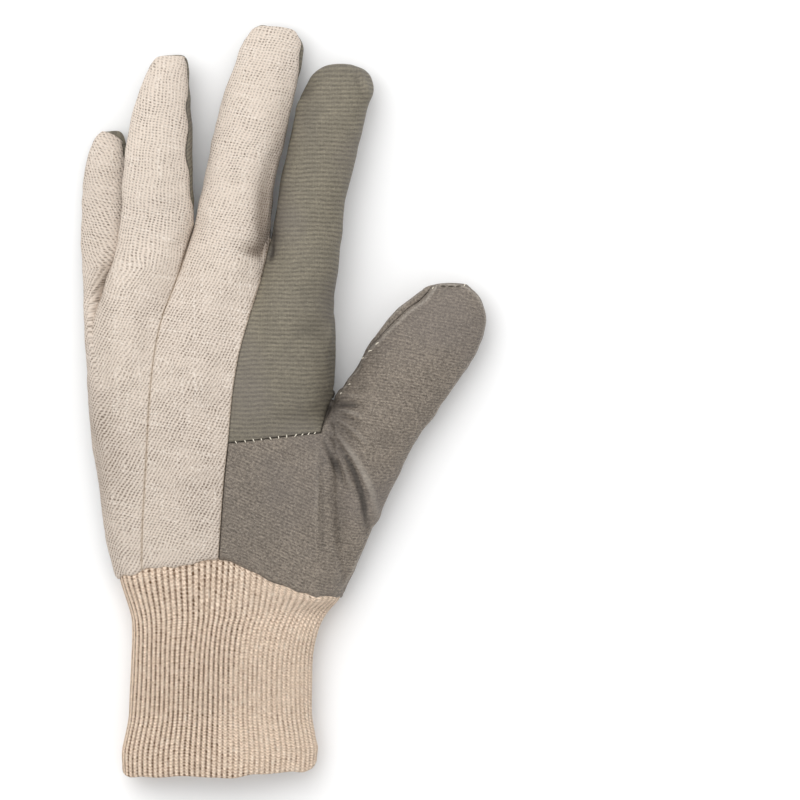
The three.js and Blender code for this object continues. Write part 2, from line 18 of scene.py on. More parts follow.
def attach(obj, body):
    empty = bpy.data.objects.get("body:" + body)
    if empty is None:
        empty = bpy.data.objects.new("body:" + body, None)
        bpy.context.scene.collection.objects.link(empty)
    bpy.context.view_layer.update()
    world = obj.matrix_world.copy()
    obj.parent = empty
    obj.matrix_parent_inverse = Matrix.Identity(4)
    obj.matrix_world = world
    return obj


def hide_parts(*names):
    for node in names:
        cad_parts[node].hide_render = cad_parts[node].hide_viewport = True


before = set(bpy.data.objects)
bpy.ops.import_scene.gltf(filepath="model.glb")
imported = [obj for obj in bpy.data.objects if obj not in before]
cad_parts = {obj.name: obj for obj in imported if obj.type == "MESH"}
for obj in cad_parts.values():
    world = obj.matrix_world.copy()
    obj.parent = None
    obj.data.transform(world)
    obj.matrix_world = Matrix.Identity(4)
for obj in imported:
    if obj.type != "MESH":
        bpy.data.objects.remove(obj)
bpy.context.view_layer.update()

bl_info = {
    "name": "Work glove",
    "version": (1, 0, 0),
    "blender": (4, 5, 0),
    "location": "3D View > Sidebar > Glove",
    "description": "Makes the cloth, the knitted wrist and the stitches of a work glove around its frame",
    "category": "Object",
}

MM = 0.001
PART_ORIGIN = np.array((19.9004, 63.1285, -0.0783))  # where the part's origin is in the tables' frame


def table(columns, rows):
    """The named columns of a table, each as an array over its rows."""
    return dict(zip(columns.split(), np.array(rows, float).T))


def places(columns, names="x y z"):
    """Three columns of a table as points."""
    return np.stack([columns[name] for name in names.split()], axis=1)


# Rails of the hand, from the wrist seam to the finger crotches
HAND_ROWS = 8
BACK_SEAM_ROW = 3
THUMB_CROTCH_ROW = 4
RAILS = {
    "outer": table("x y z", [
        (-40.3, -1, 10),
        (-43.9, 14.8, 10.5),
        (-46.5, 33, 11),
        (-48.7, 47, 11),
        (-50, 60, 11),
        (-50.8, 74, 10.5),
        (-51.3, 87, 10),
        (-51.9, 98, 9.5),
        (-52.3, 108, 9),
    ]),
    "little_ring": table("x y z", [
        (-33.5, 0, 18.5),
        (-38.5, 17, 20.5),
        (-41.5, 33, 22),
        (-43.5, 47.5, 23),
        (-45, 61, 22.6),
        (-46.8, 75, 20.5),
        (-48.2, 88.5, 15.5),
        (-45.2, 101, 12),
        (-40.6, 112.5, 10),
    ]),
    "ring_middle": table("x y z", [
        (-31, 1.5, 19.5),
        (-30.6, 16, 23.5),
        (-29.7, 32, 25.5),
        (-28.8, 48, 26.8),
        (-28, 62.5, 27.2),
        (-26.4, 78, 26.8),
        (-23.6, 92, 25),
        (-17.7, 108, 21),
        (-12, 126, 14),
    ]),
    "middle_index": table("x y z", [
        (-3.2, 5.4, 22.5),
        (-2.4, 18, 25.5),
        (-1.2, 34, 27.5),
        (0.3, 47.5, 28.8),
        (1.6, 63, 29.4),
        (4, 78.5, 29.2),
        (7.6, 92, 27.8),
        (12, 107, 23.5),
        (15.4, 121, 15),
    ]),
    "thumb_side": table("x y z", [
        (31.5, -8.3, 20),
        (31.8, 12, 24),
        (32.4, 32, 26),
        (33.5, 51.5, 24.5),
        (37, 63, 13),
        (38.5, 78, 14),
        (37.6, 95, 14.5),
        (39.4, 111, 15),
        (41, 125, 15.5),
    ]),
    "little_ring_palm": table("x y z", [
        (-28, -0.5, 0.3),
        (-30, 15, 0),
        (-32.5, 31, 0),
        (-34.5, 46, 0),
        (-36, 60, 0),
        (-37, 74, 0),
        (-38.2, 88, 1.2),
        (-39.2, 101, 4.5),
        (-40.6, 112.5, 10),
    ]),
    "ring_middle_palm": table("x y z", [
        (-10, 1, 0.3),
        (-11.5, 17, 0),
        (-12.5, 33, 0),
        (-13.2, 48, 0),
        (-13.6, 63, 0),
        (-13.6, 79, 0),
        (-13.2, 95, 1),
        (-12.6, 111, 5),
        (-12, 126, 14),
    ]),
    "thumb_seam": table("x y z", [
        (31.5, -4.5, 0.8),
        (31.8, 12, 0),
        (32.4, 32, 0.4),
        (34, 50, 3),
        (37, 63, 13),
        (31, 78, 2.5),
        (25.5, 92, 1.5),
        (20.3, 107, 4.5),
        (15.4, 121, 15),
    ]),
}

# How steeply a sheet meets a rail: 0 runs on across it, 1 stands upright on it
UPRIGHT = [1] * 9
VALLEY = [0, 0, 0, 0, 0, 0, 0.1, 0.35, 1]
RING_FLANK = [0, 0, 0, 0, 0.1, 0.4, 0.8, 1, 1]
THUMB_SIDE = [0, 0, 0, 0.15, 1, 1, 1, 1, 1]
THUMB_SEAM = [0, 0, 0, 0.15, 1, 0.1, 0, 0.4, 1]
BACK, PALM = 1, -1
# Lanes of the hand: left rail, right rail, how the sheet meets each, and how far it stands out between
LANES = {
    BACK: {
        "little": (
            "outer", "little_ring", UPRIGHT, VALLEY,
            [0.5, 0.5, 0.5, 0.5, 0.5, 1.0, 2.0, 3.5, 6.0],
        ),
        "ring": (
            "little_ring", "ring_middle", RING_FLANK, VALLEY,
            [0.2, 1.0, 1.6, 2.0, 2.4, 3.2, 5.0, 8.5, 12.0],
        ),
        "middle": (
            "ring_middle", "middle_index", VALLEY, VALLEY,
            [2.2, 1.6, 1.6, 1.8, 2.0, 2.4, 3.4, 6.2, 11.5],
        ),
        "index": (
            "middle_index", "thumb_side", VALLEY, THUMB_SIDE,
            [1.5, 1.8, 2.0, 2.6, 7.5, 8.5, 8.5, 8.8, 10.0],
        ),
    },
    PALM: {
        "little": (
            "outer", "little_ring_palm", UPRIGHT, VALLEY,
            [0.5, 0, 0, 0, 0, 0, 0.5, 2.5, 5.0],
        ),
        "ring": (
            "little_ring_palm", "ring_middle_palm", VALLEY, VALLEY,
            [0.3, 0, 0, 0, 0, 0, 0.2, 1.0, 5.0],
        ),
        "middle": (
            "ring_middle_palm", "thumb_seam", VALLEY, THUMB_SEAM,
            [0, 0, 0, 0, 0, 0, 0.6, 2.0, 8.0],
        ),
        "index": (
            "thumb_seam", "thumb_side", THUMB_SEAM, THUMB_SIDE,
            [0, 0, 0, 0, 0, 3.0, 5.0, 7.0, 8.5],
        ),
    },
}

# Fingers, from the crotch row to the tip: side lines, rise of the back, drop of the palm side, forward
# bow of the row, and how far round the section, in degrees, each side seam is turned onto the back
DIGIT_COLUMNS = "xl yl zl xr yr zr up down bow turn_left turn_right"
DIGITS = {
    "little": table(DIGIT_COLUMNS, [
        (-52.3, 108, 9, -40.6, 112.5, 10, 6, 5, 0, 0, 0),
        (-53, 120, 8.4, -34.8, 121, 7.6, 6.4, 6.2, 0, -12, 0),
        (-52.7, 132, 8, -34.4, 132, 6.8, 6.5, 6.2, 0, -15, 5),
        (-51.8, 144, 7.6, -34.9, 143, 6.5, 6.3, 6, 0, -12, 12),
        (-50.2, 152, 7.2, -35.5, 149.2, 6.5, 5.8, 5.6, 0.3, -6, 30),
        (-48.4, 156.8, 7, -36.4, 153, 6.5, 4.4, 4.4, 0.7, 0, 40),
        (-45.6, 160, 6.8, -37.8, 156, 6.5, 0, 0, 0.8, 0, 0),
    ]),
    "ring": table(DIGIT_COLUMNS, [
        (-40.6, 112.5, 10, -12, 126, 14, 12, 5, 0, 0, 0),
        (-39, 122, 14.5, -12.4, 134, 16, 9, 7.6, 0, -15, 6),
        (-37.8, 134, 17.5, -12.7, 145.5, 16, 8.6, 7.8, 0, -22, 24),
        (-37.2, 147, 17, -12.7, 157.5, 15, 8.4, 7.8, 0, -22, 26),
        (-35.6, 159.5, 15, -13.2, 167.5, 13.4, 8, 7.4, 0, -18, 24),
        (-31.8, 173.5, 12.4, -13.8, 176.5, 11.8, 7.2, 6.8, 0.3, -12, 12),
        (-28.6, 182, 10.8, -14.4, 182.6, 10.6, 5, 5, 0.6, 0, 4),
        (-26, 186, 10, -16, 186.2, 10, 0, 0, 0.8, 0, 0),
    ]),
    "middle": table(DIGIT_COLUMNS, [
        (-12, 126, 14, 15.4, 121, 15, 11.5, 8, 0, 0, 0),
        (-10.3, 133, 15.5, 16.4, 131, 15.8, 9.5, 8.8, 0, -15, -6),
        (-7.8, 145, 15.3, 18.4, 143, 15.4, 9.2, 8.8, 0, -22, -12),
        (-5.2, 157, 14.4, 20.4, 155, 14.4, 9, 8.5, 0, -22, -14),
        (-2.4, 169, 12.6, 22.6, 167, 12.8, 8.5, 8, 0, -18, -8),
        (1.2, 180, 10.6, 25.4, 178.5, 10.8, 7.8, 7.4, 0.4, -10, 6),
        (4.8, 190.4, 8.6, 26.9, 189.5, 8.8, 5.6, 5.6, 1, 0, 16),
        (8, 196, 7.8, 24.8, 195, 7.8, 0, 0, 2, 0, 0),
    ]),
    "index": table(DIGIT_COLUMNS, [
        (15.4, 121, 15, 41, 125, 15.5, 10, 8.5, 0, 0, 0),
        (17.4, 132, 16, 42.4, 135, 15.2, 9.4, 9, 0, 0, 0),
        (20, 144, 15.6, 45, 146, 14.6, 9.2, 9, 0, 0, 0),
        (22.3, 156, 14.6, 47.9, 157, 13.6, 9, 8.6, 0, 0, 0),
        (24.2, 166.5, 12.8, 50, 167.5, 12.2, 8.6, 8.2, 0, 0, 0),
        (27, 174, 11.2, 52.3, 174, 10.8, 7.8, 7.6, 0.4, 0, 0),
        (30.4, 180, 9.6, 50.8, 179.8, 9.4, 5.2, 5.4, 0.8, 0, 0),
        (34.6, 183, 8.8, 45.6, 183, 8.8, 0, 0, 0.8, 0, 0),
    ]),
}
# The thumb: its first row is the fold on the back and the seam on the palm
THUMB = table(DIGIT_COLUMNS, [
    (37, 63, 13, 31.5, -8.3, 10, 12, 10, 0, 0, 0),
    (39, 66.4, 12.8, 41.6, -7.4, 10.2, 12, 9.8, 0, 2, 0),
    (41.6, 68.9, 12.7, 47, 5.4, 10.4, 12.2, 10.2, 0, 6, 0),
    (44.8, 72.6, 12.6, 54, 21.6, 10.8, 12.4, 10.6, 0, 3, 0),
    (47.2, 76, 12.4, 60.4, 34.5, 11, 12.2, 10.6, 0, 5, 0),
    (49.2, 80.2, 12.2, 66.2, 46.5, 11.2, 11.6, 10.4, 0, 8, 0),
    (52, 84.8, 12, 73, 56, 11.2, 11, 10.2, 0, 17, 0),
    (55.4, 89.6, 11.6, 79.6, 65.6, 11, 10.4, 9.8, 0, 24, 0),
    (59.8, 94.4, 11.2, 86, 74.6, 10.6, 9.8, 9.4, 0, 27, 0),
    (65, 99.2, 10.6, 90.2, 82, 10.2, 9, 8.8, 0, 30, 0),
    (69.6, 102.7, 10, 92.6, 90.4, 9.8, 7.2, 7.4, 0.6, 30, 0),
    (72, 104.1, 9.6, 91.2, 98.4, 9.5, 4.6, 4.8, 0.5, 18, 0),
    (74.2, 105, 9.4, 86.2, 105, 9.4, 0, 0, 0.4, 0, 0),
])
THUMB_BLEND_ROWS = 3

# Knitted wrist, from under the seam to the mouth: y, middle x, half width, half height
CUFF = table("y x half_width half_height", [
    (-13, 0.2, 35.4, 10.9),
    (-19, -1, 33.4, 10.7),
    (-28, -2.1, 32.5, 10.5),
    (-39, -2.5, 32.4, 10.2),
    (-50, -2.7, 32.8, 9.9),
    (-57, -2.8, 34, 9.7),
    (-64, -2.9, 35.1, 9.5),
    (-71.3, -3.1, 34.9, 9.3),
])
CUFF_SQUARENESS = 0.82
CUFF_MIDDLE_ROW = 3
CUFF_FINE_STEPS = 4000  # for measuring along the section

# Folds and dents: on the back (1) or the palm (-1), from one plan point past another to a third, how
# wide and how high
FOLDS = table("side x0 y0 x1 y1 x2 y2 width rise", [
    (1, 33.6, 53.5, 50.5, 35, 50.2, 15, 1.5, -2.2),
    (1, 35.6, 54.4, 53.5, 36, 52.8, 17.5, 1.7, 1.6),
    (1, 33, 51, 38.5, 43, 41.6, 31, 1.3, -1.3),
    (1, 34, 52, 42, 43.5, 45, 30, 1.4, 1.1),
    (1, 36.6, 61.2, 42, 62.6, 49.6, 60, 1.3, -1.2),
    (1, 37.6, 64, 43, 65.4, 50, 63.5, 1.3, 0.8),
    (1, 36.4, 59, 42, 57.5, 50, 52, 1.3, -1),
    (1, 36.4, 60.2, 43, 60, 52.5, 54.5, 1.4, 0.9),
    (1, 35.6, 57, 42, 52.5, 49, 44, 1.3, -1),
    (1, 36, 58, 44, 54.5, 52, 45.5, 1.5, 0.9),
    (1, 41.5, 67.5, 47, 67, 53, 69, 1.4, -0.7),
    (1, 49, 78.5, 55, 77, 60, 79.5, 1.8, -0.5),
    (1, 32.6, 48, 32, 26, 31.6, 2, 1.1, 0.8),
    (1, 34.4, 46, 34.2, 26, 33.8, 2, 1.4, -0.8),
    (1, 40, 33, 41, 20, 39, 6, 3.2, -0.7),
    (1, 47.5, 60, 55.5, 52.5, 60.5, 44, 4, -0.5),
    (1, 16.5, 115.5, 11, 116, 5, 118.5, 2.8, -1.3),
    (1, 15.5, 112, 10, 130, 17.5, 152, 3.8, -1.5),
    (1, 13, 108.5, 6, 111, -2, 111.5, 2.4, 0.8),
    (1, 3.5, 128, 0, 121, -6, 116, 3, 0.7),
    (1, -10, 122, -13.5, 116, -19, 108, 3.2, 0.7),
    (1, -36, 97, -33, 88, -30.5, 76, 2.6, 1),
    (1, -29, 100, -27, 90, -27.5, 78, 3, -0.25),
    (1, -37, 104, -30, 110, -18, 108, 3.4, -0.7),
    (1, -36, 118, -28, 121, -16, 117, 3, -0.6),
    (1, -36, 131, -26, 128, -15, 133, 3, -0.5),
    (1, -34, 147, -25, 150, -14, 146, 3, -0.45),
    (1, -9, 141, 0, 138, 10, 143, 3.2, -0.45),
    (1, -6, 160, 5, 163, 17, 158, 3.2, -0.4),
    (1, -52, 118, -46, 121, -39, 118, 2.6, -0.5),
    (1, -52, 134, -45, 131, -37, 135, 2.6, -0.45),
    (1, 37, 94, 35.5, 86, 36.5, 79, 1.6, 0.7),
    (1, 48, 169, 43, 164, 38, 161, 3.4, 0.6),
    (1, 26, 171, 29, 174, 31.5, 178, 1.8, -0.6),
    (1, 46.5, 181.5, 49.8, 177.5, 50.6, 170.5, 0.9, 0.7),
    (1, 45, 180, 47.8, 176.5, 48.8, 169.5, 1.1, -0.6),
    (1, -44.5, 16, -43, 7, -41.5, -2, 1.4, 0.6),
    (1, -41.5, 14, -40.5, 6, -39.5, -1, 1.5, -0.6),
    (1, -2, 62, -8, 58, -16, 57, 5, -0.5),
    (1, 22, 85, 27, 88, 36, 87, 4, -0.6),
    (1, 18, 100, 26, 104, 37, 101, 3.6, -0.5),
    (-1, 4, 78, 18, 66, 27, 44, 5, -0.9),
    (-1, 4, 20, 16, 12, 27, 6, 4, -0.7),
])

# Places where the section is pushed aside: nothing at the height z_low, fully from z_high on, up or down
PUSHES = table("x y reach_x reach_y z_low z_high dx dy", [
    (-41.5, 111, 7, 9, 11.5, 16, -1.5, 0),
    (39, 89, 3, 8, 6, 12, 0.9, 0),
    (17.5, 146, 4, 14, 8, 12, -0.9, 0),
    (46.5, 172, 5, 4, 10, 16, 0.8, 0),
    (-39.4, 157.5, 4.4, 4.2, 6.6, 4.6, 1.1, 2.4),
    (-17, 184.6, 4, 5, 12, 8.5, 0.9, 0.9),
    (11.9, 197, 2.2, 3, 9.5, 7, 0, 0.7),
])

# Places of the back darkened with painted shade: plan point, reach and amount
PAINTED_SHADE_PLACES = table("x y reach_x reach_y amount", [
    (13.8, 130, 3.6, 14, 0.7),
    (18.2, 150, 3, 12, 0.45),
    (11, 116.4, 4.6, 2.2, 0.85),
    (12.6, 121.5, 3.4, 5, 0.55),
    (-48, 45, 9, 45, 0.3),
    (-44, 30, 8, 30, 0.2),
    (-20, 30, 30, 50, 0.14),
    (-52, 140, 4, 24, 0.12),
    (-45, 105, 5, 12, 0.15),
    (39, 60, 5, 8, 0.6),
    (46, 77, 4, 9, 0.4),
    (52, 83, 5, 8, 0.3),
    (41, 48, 5, 12, 0.3),
    (8, 25, 14, 24, 0.2),
    (37.2, 84, 2.4, 32, 0.3),
    (32.5, 100, 4, 16, 0.1),
    (29, 165, 5, 16, 0.3),
    (40, 181, 12, 4, 0.2),
    (22, 82, 14, 26, 0.14),
    (-46, 134, 8, 28, 0.07),
    (20, 150, 3, 26, 0.2),
])

# Which pieces stand for which node, with the record's slot
PIECES = {
    "cotton_back_outer": ("back_panel_outer", "cotton"),
    "cotton_back_middle": ("back_panel_middle", "cotton"),
    "index_wrap": ("index_finger_wrap", "coated_cloth"),
    "thumb_back": ("thumb_back_panel", "coated_cloth_brown"),
    "thumb_front": ("thumb_front_panel", "coated_cloth_brown"),
    "palm_cloth": ("palm_panel", "coated_cloth"),
    "rib_wrist": ("knitted_wrist", "rib_knit"),
}


def length_property(name, description, default):
    """A length that a user can change, its default given in millimetres."""
    return FloatProperty(name=name, description=description, default=default * MM, unit="LENGTH")


def colour_property(name, description, default):
    """A colour that a user can change."""
    return FloatVectorProperty(
        name=name, description=description, default=default, subtype="COLOR", min=0, max=1,
    )


class ClothSizes(bpy.types.PropertyGroup):
    """Sizes of the cotton and of the coated cloth"""

    thickness: length_property("Thickness", "Thickness of the cloth", 1.2)
    seam_depth: length_property("Seam depth", "How far the cloth rolls down into a seam", 0.9)
    seam_reach: length_property("Seam reach", "How far from a seam the cloth starts to roll down", 1.7)
    seam_gap: length_property("Seam gap", "Open line between two cloth pieces", 0.22)
    lump: length_property("Lumps", "Height of the soft lumps of cloth that has been handled", 0.65)
    weave_pitch: length_property("Weave pitch", "Distance between two cotton threads", 1.03)
    rib_pitch: length_property("Rib pitch", "Distance between two cross ribs of the coated cloth", 1.6)
    fine_rib_pitch: length_property("Fine rib pitch", "Distance between ribs of the thumb's cloth", 1.05)


class KnitSizes(bpy.types.PropertyGroup):
    """Sizes of the knitted wrist"""

    ribs: IntProperty(name="Ribs", description="Ribs round the wrist", default=82, min=20, max=120)
    rib_height: length_property("Rib height", "How far a rib stands out", 0.45)
    stitch: length_property("Stitch", "Length of one knitted stitch", 1.1)
    wall: length_property("Wall", "Thickness of the knitted wall", 2.0)


class GloveColours(bpy.types.PropertyGroup):
    """Colours of the cloth, the knit and the thread"""

    cotton: colour_property("Cotton", "Raised threads of the cotton", (0.69, 0.592, 0.505))
    cotton_gap: colour_property("Cotton gaps", "Gaps between the cotton threads", (0.11, 0.073, 0.047))
    coated: colour_property("Coated cloth", "Ribs of the coated cloth", (0.285, 0.252, 0.184))
    coated_groove: colour_property("Coated grooves", "Grooves of the coated cloth", (0.098, 0.086, 0.066))
    coated_fleck: colour_property("Coated flecks", "Light flecks on the coated cloth", (0.36, 0.33, 0.26))
    brown: colour_property("Brown coated cloth", "Ribs of the thumb's cloth", (0.335, 0.282, 0.226))
    brown_groove: colour_property("Brown grooves", "Grooves of the thumb's cloth", (0.075, 0.061, 0.049))
    brown_fleck: colour_property("Brown flecks", "Light flecks on the thumb's cloth", (0.42, 0.38, 0.33))
    knit: colour_property("Knit", "Raised stitches of the wrist", (1.0, 0.82, 0.655))
    knit_gap: colour_property("Knit gaps", "Gaps between the wrist's ribs", (0.115, 0.064, 0.034))
    thread: colour_property("Thread", "Sewing thread", (0.8, 0.74, 0.62))


class StageSettings(bpy.types.PropertyGroup):
    """Floor, lights and camera"""

    floor: colour_property("Floor", "Colour of the floor", (0.9, 0.9, 0.9))
    ambient: FloatProperty(
        name="Ambient", description="Strength of the light from all round", default=0.84, min=0,
    )
    key: FloatProperty(
        name="Key light", description="Power of the large light beyond the fingertips", default=15.0, min=0,
    )
    camera_height: length_property("Camera height", "Height of the camera", 4000.0)
    view_width: length_property("View width", "Width of the view at the surface", 288.0)


def mm(length):
    """A length property in millimetres."""
    return length / MM


def to_part(points):
    """Table points as metres in the part's own frame."""
    return (points - PART_ORIGIN) * MM


def unit(vectors):
    """The vectors with length one."""
    return vectors / np.maximum(np.linalg.norm(vectors, axis=-1, keepdims=True), 1e-9)


def smooth(value, low, high):
    """0 below low, 1 above high and a soft step between."""
    t = np.clip((value - low) / (high - low), 0, 1)
    return t * t * (3 - 2 * t)


def hump(offset, width):
    """1 at no offset, falling softly to nothing beyond the width."""
    return np.exp(-((offset / width) ** 2))


def near_place(points, x, y, reach_x, reach_y):
    """1 at a plan point, falling softly to nothing beyond its reach."""
    return hump(points[:, 0] - x, reach_x) * hump(points[:, 1] - y, reach_y)


def rounded_edge(distance, reach):
    """How far a rounded edge has dropped: 1 on the edge itself, nothing from the reach on."""
    return 1 - np.sqrt(1 - (1 - np.clip(distance / reach, 0, 1)) ** 2)


def through(knots, where):
    """A smooth line through the knots, read at row numbers such as 2.5."""
    knots = np.asarray(knots, float)
    flat = knots.reshape(len(knots), -1)
    padded = np.vstack([2 * flat[:1] - flat[1:2], flat, 2 * flat[-1:] - flat[-2:-1]])
    start = np.clip(np.floor(where).astype(int), 0, len(flat) - 2)
    t = (where - start)[:, None]
    a, b, c, d = (padded[start + k] for k in range(4))
    slope_b, slope_c = (c - a) / 2, (d - b) / 2
    bend = 3 * (c - b) - 2 * slope_b - slope_c
    twist = 2 * (b - c) + slope_b + slope_c
    line = b + t * (slope_b + t * (bend + t * twist))
    return line.reshape(len(where), *knots.shape[1:])


# How finely the sheets are divided
ROWS_PER_KNOT = 20
FINE_NEAR = (0.012, 0.03, 0.055, 0.085)  # extra rows beside a seam that runs along a row
COLUMNS = {"little": 34, "ring": 42, "middle": 58, "index": 50}
ROWS_PER_FINGER_KNOT = 15
ROWS_PER_THUMB_KNOT = 10
EDGE_CROWDING = 0.55  # how much closer the columns stand beside the rails
TIP_ROWS = 16
SEAM_WANDER = 5.0  # degrees that a finger's side seams wander round its section
THUMB_SEAM_WANDER = 0.8
SEAM_WANDERS_PER_ROW = 4.2  # how fast, in radians a row
EASE = 3.6  # reach over which creases between lanes are rounded
EASE_FADE_ROWS = (5.0, 7.2)
FLAT_FADE_ROWS = 40  # rows past the crotches over which the flat places of two fingers part
LOWER_BACK_RIB_SLOPE, THUMB_RIB_SLOPE = 24, 12  # degrees that the cloth's ribs slope down to the right


def hand_where():
    """Row numbers of the hand, closer beside the wrist and beside the back seam."""
    near = [BACK_SEAM_ROW + side * step for side in (-1, 1) for step in FINE_NEAR]
    even = np.linspace(0, HAND_ROWS, HAND_ROWS * ROWS_PER_KNOT + 1)
    return np.unique(np.round([*even, *FINE_NEAR, *near], 6))


def tip_where(knots, divisions, first=()):
    """Row numbers of a digit, closing up towards the tip so that it ends round."""
    body = np.linspace(0, knots - 2, (knots - 2) * divisions + 1)
    left = np.linspace(1, 0, TIP_ROWS + 1)[1:]
    return np.unique(np.round([*body, *first, *(knots - 1 - left**2)], 6))


def crowded(columns):
    """Shares of the way across a sheet, closer together beside its rails."""
    t = np.linspace(0, 1, columns + 1)
    return t - EDGE_CROWDING * np.sin(2 * np.pi * t) / (2 * np.pi)


def arches(left, right, crown, steep_left, steep_right, v):
    """Rows that arch from the left to the right rail, read at the shares v."""
    crown, steep_left, steep_right = (c[:, None] for c in (crown, steep_left, steep_right))
    quarter, half = v * np.pi / 2, (1 - np.cos(v * np.pi)) / 2
    mixes = [
        ((1 - steep_left) * (1 - steep_right), v, v),
        (steep_left * steep_right, half, half),
        (steep_left * (1 - steep_right), 1 - np.cos(quarter), np.sin(quarter)),
        ((1 - steep_left) * steep_right, np.sin(quarter), 1 - np.cos(quarter)),
    ]
    along = sum(share * reach for share, reach, _ in mixes)[..., None]
    climb = sum(share * rise for share, _, rise in mixes)
    rows = left[:, None] + (right - left)[:, None] * along
    rows[..., 2] = left[:, None, 2] + (right - left)[:, None, 2] * climb + crown * np.sin(v * np.pi)
    rows[:, 0], rows[:, -1] = left, right
    return rows


def rounded_crown(crown, where, knots):
    """The rise of a digit's rows, rounded over its last interval instead of running to an edge."""
    line = through(crown, where)
    last, before = crown[-2], crown[-3]
    t = np.clip(where - (knots - 2), 0, 1)
    slope = -before / 2 / last
    tip = last * np.sqrt(1 - t) * (1 + (0.5 + slope) * t)
    return np.where(where > knots - 2, tip, line)


def section(digit, where, left, right, angles):
    """A digit's rows read at angles round its section: 0 is the left side line, 90 the top of the back."""
    knots = len(digit["xl"])
    up, down = (rounded_crown(digit[name], where, knots)[:, None] for name in ("up", "down"))
    bow = through(digit["bow"], where)[:, None]
    across = unit((right - left) * (1, 1, 0))
    forward = np.stack([-across[:, 1], across[:, 0], 0 * across[:, 0]], axis=1)
    share = (1 - np.cos(angles)) / 2
    rows = left[:, None] + (right - left)[:, None] * share[..., None]
    rows[..., 2] += np.where(np.sin(angles) > 0, up, down) * np.sin(angles)
    return rows + forward[:, None] * (bow * np.abs(np.sin(angles)))[..., None]


def turned_angles(digit, where, side, v):
    """Angles of a digit's back or palm side, from the left to the right seam."""
    ends = smooth(where, 0, 1) * smooth(len(digit["up"]) - 1 - where, 0, 1)
    reach = THUMB_SEAM_WANDER if digit is THUMB else SEAM_WANDER
    wander = reach * ends * np.sin(where * SEAM_WANDERS_PER_ROW)
    left = np.radians(through(digit["turn_left"], where) + wander)[:, None]
    right = np.radians(through(digit["turn_right"], where) - wander)[:, None]
    end = side * np.pi - right
    return left + (end - left) * v


def finger_sheet(name, side, v):
    """A finger's back or palm side, from its crotch row to the tip."""
    digit = DIGITS[name]
    where = tip_where(len(digit["xl"]), ROWS_PER_FINGER_KNOT)
    left, right = (through(places(digit, names), where) for names in ("xl yl zl", "xr yr zr"))
    return section(digit, where, left, right, turned_angles(digit, where, side, v))


def thumb_sheet(edge, side, where):
    """The thumb's back or palm side. Its first row is the hand's edge, from the crotch to the wrist."""
    left = through(places(THUMB, "xl yl zl"), where)
    silhouette = places(THUMB, "xr yr zr")[1:]
    right = through(silhouette, np.maximum(where - 1, 0))
    wrist_end, corner = edge[-1], silhouette[0]
    turn = np.clip(where, 0, 1) * np.pi / 2
    opening = wrist_end + (corner - wrist_end) * np.sin(turn)[:, None]
    opening[:, 2] = corner[2] + (wrist_end[2] - corner[2]) * np.cos(turn)
    right = np.where((where < 1)[:, None], opening, right)
    v = np.linspace(0, 1, len(edge))
    rows = section(THUMB, where, left, right, turned_angles(THUMB, where, side, v))
    own = smooth(where, 0, THUMB_BLEND_ROWS)[:, None, None]
    carried = edge + (left - left[0])[:, None] * (1 - v)[:, None] + (right - right[0])[:, None] * v[:, None]
    rows = carried + (rows - carried) * own
    rows[:, -1] = right
    return rows


def eased(lanes, where):
    """Lanes side by side with the creases between them rounded, less and less towards the crotches."""
    rows = np.concatenate([lanes[0], *(lane[:, 1:] for lane in lanes[1:])], axis=1)
    steps = np.linalg.norm(np.diff(rows, axis=1), axis=2)
    run = np.pad(np.cumsum(steps, axis=1), ((0, 0), (1, 0)))
    kernel = np.exp(-(((run[:, :, None] - run[:, None, :]) / EASE) ** 2) / 2)
    kernel *= np.gradient(run, axis=1)[:, None, :]
    soft = np.einsum("rij,rjk->rik", kernel / kernel.sum(2, keepdims=True), rows)
    free = smooth(np.minimum(run, run[:, -1:] - run), 0, EASE * 2)
    free *= 1 - smooth(where, *EASE_FADE_ROWS)[:, None]
    rows = rows + (soft - rows) * free[..., None]
    cuts = np.cumsum([0] + [lane.shape[1] - 1 for lane in lanes])
    return [rows[:, a:b + 1] for a, b in zip(cuts, cuts[1:])]


def unrolled(strip):
    """Where each point of a strip lies on the flat cloth: each row keeps its direction and its length."""
    steps = np.linalg.norm(np.diff(strip, axis=1), axis=2)
    run = np.pad(np.cumsum(steps, axis=1), ((0, 0), (1, 0)))
    middle = strip.shape[1] // 2
    run -= run[:, middle:middle + 1]
    across = unit(strip[:, -1, :2] - strip[:, 0, :2])
    return strip[:, middle:middle + 1, :2] + across[:, None] * run[..., None]


def joined(flats, hand_rows):
    """The flat places of neighbouring lanes, stretched a little so that they agree where they meet."""
    for a, b in zip(flats, flats[1:]):
        gap = (b[:hand_rows, 0] - a[:hand_rows, -1]) / 2
        for flat, toward in ((a, 1), (b, -1)):
            fade = 1 - smooth(np.arange(len(flat) - hand_rows) / FLAT_FADE_ROWS, 0, 1)
            reach = np.concatenate([gap, gap[-1] * fade[:, None]])
            v = np.linspace(0, 1, flat.shape[1])
            share = np.clip(2 * v - 1, 0, 1) if toward > 0 else np.clip(1 - 2 * v, 0, 1)
            flat += toward * reach[:, None] * share[:, None]


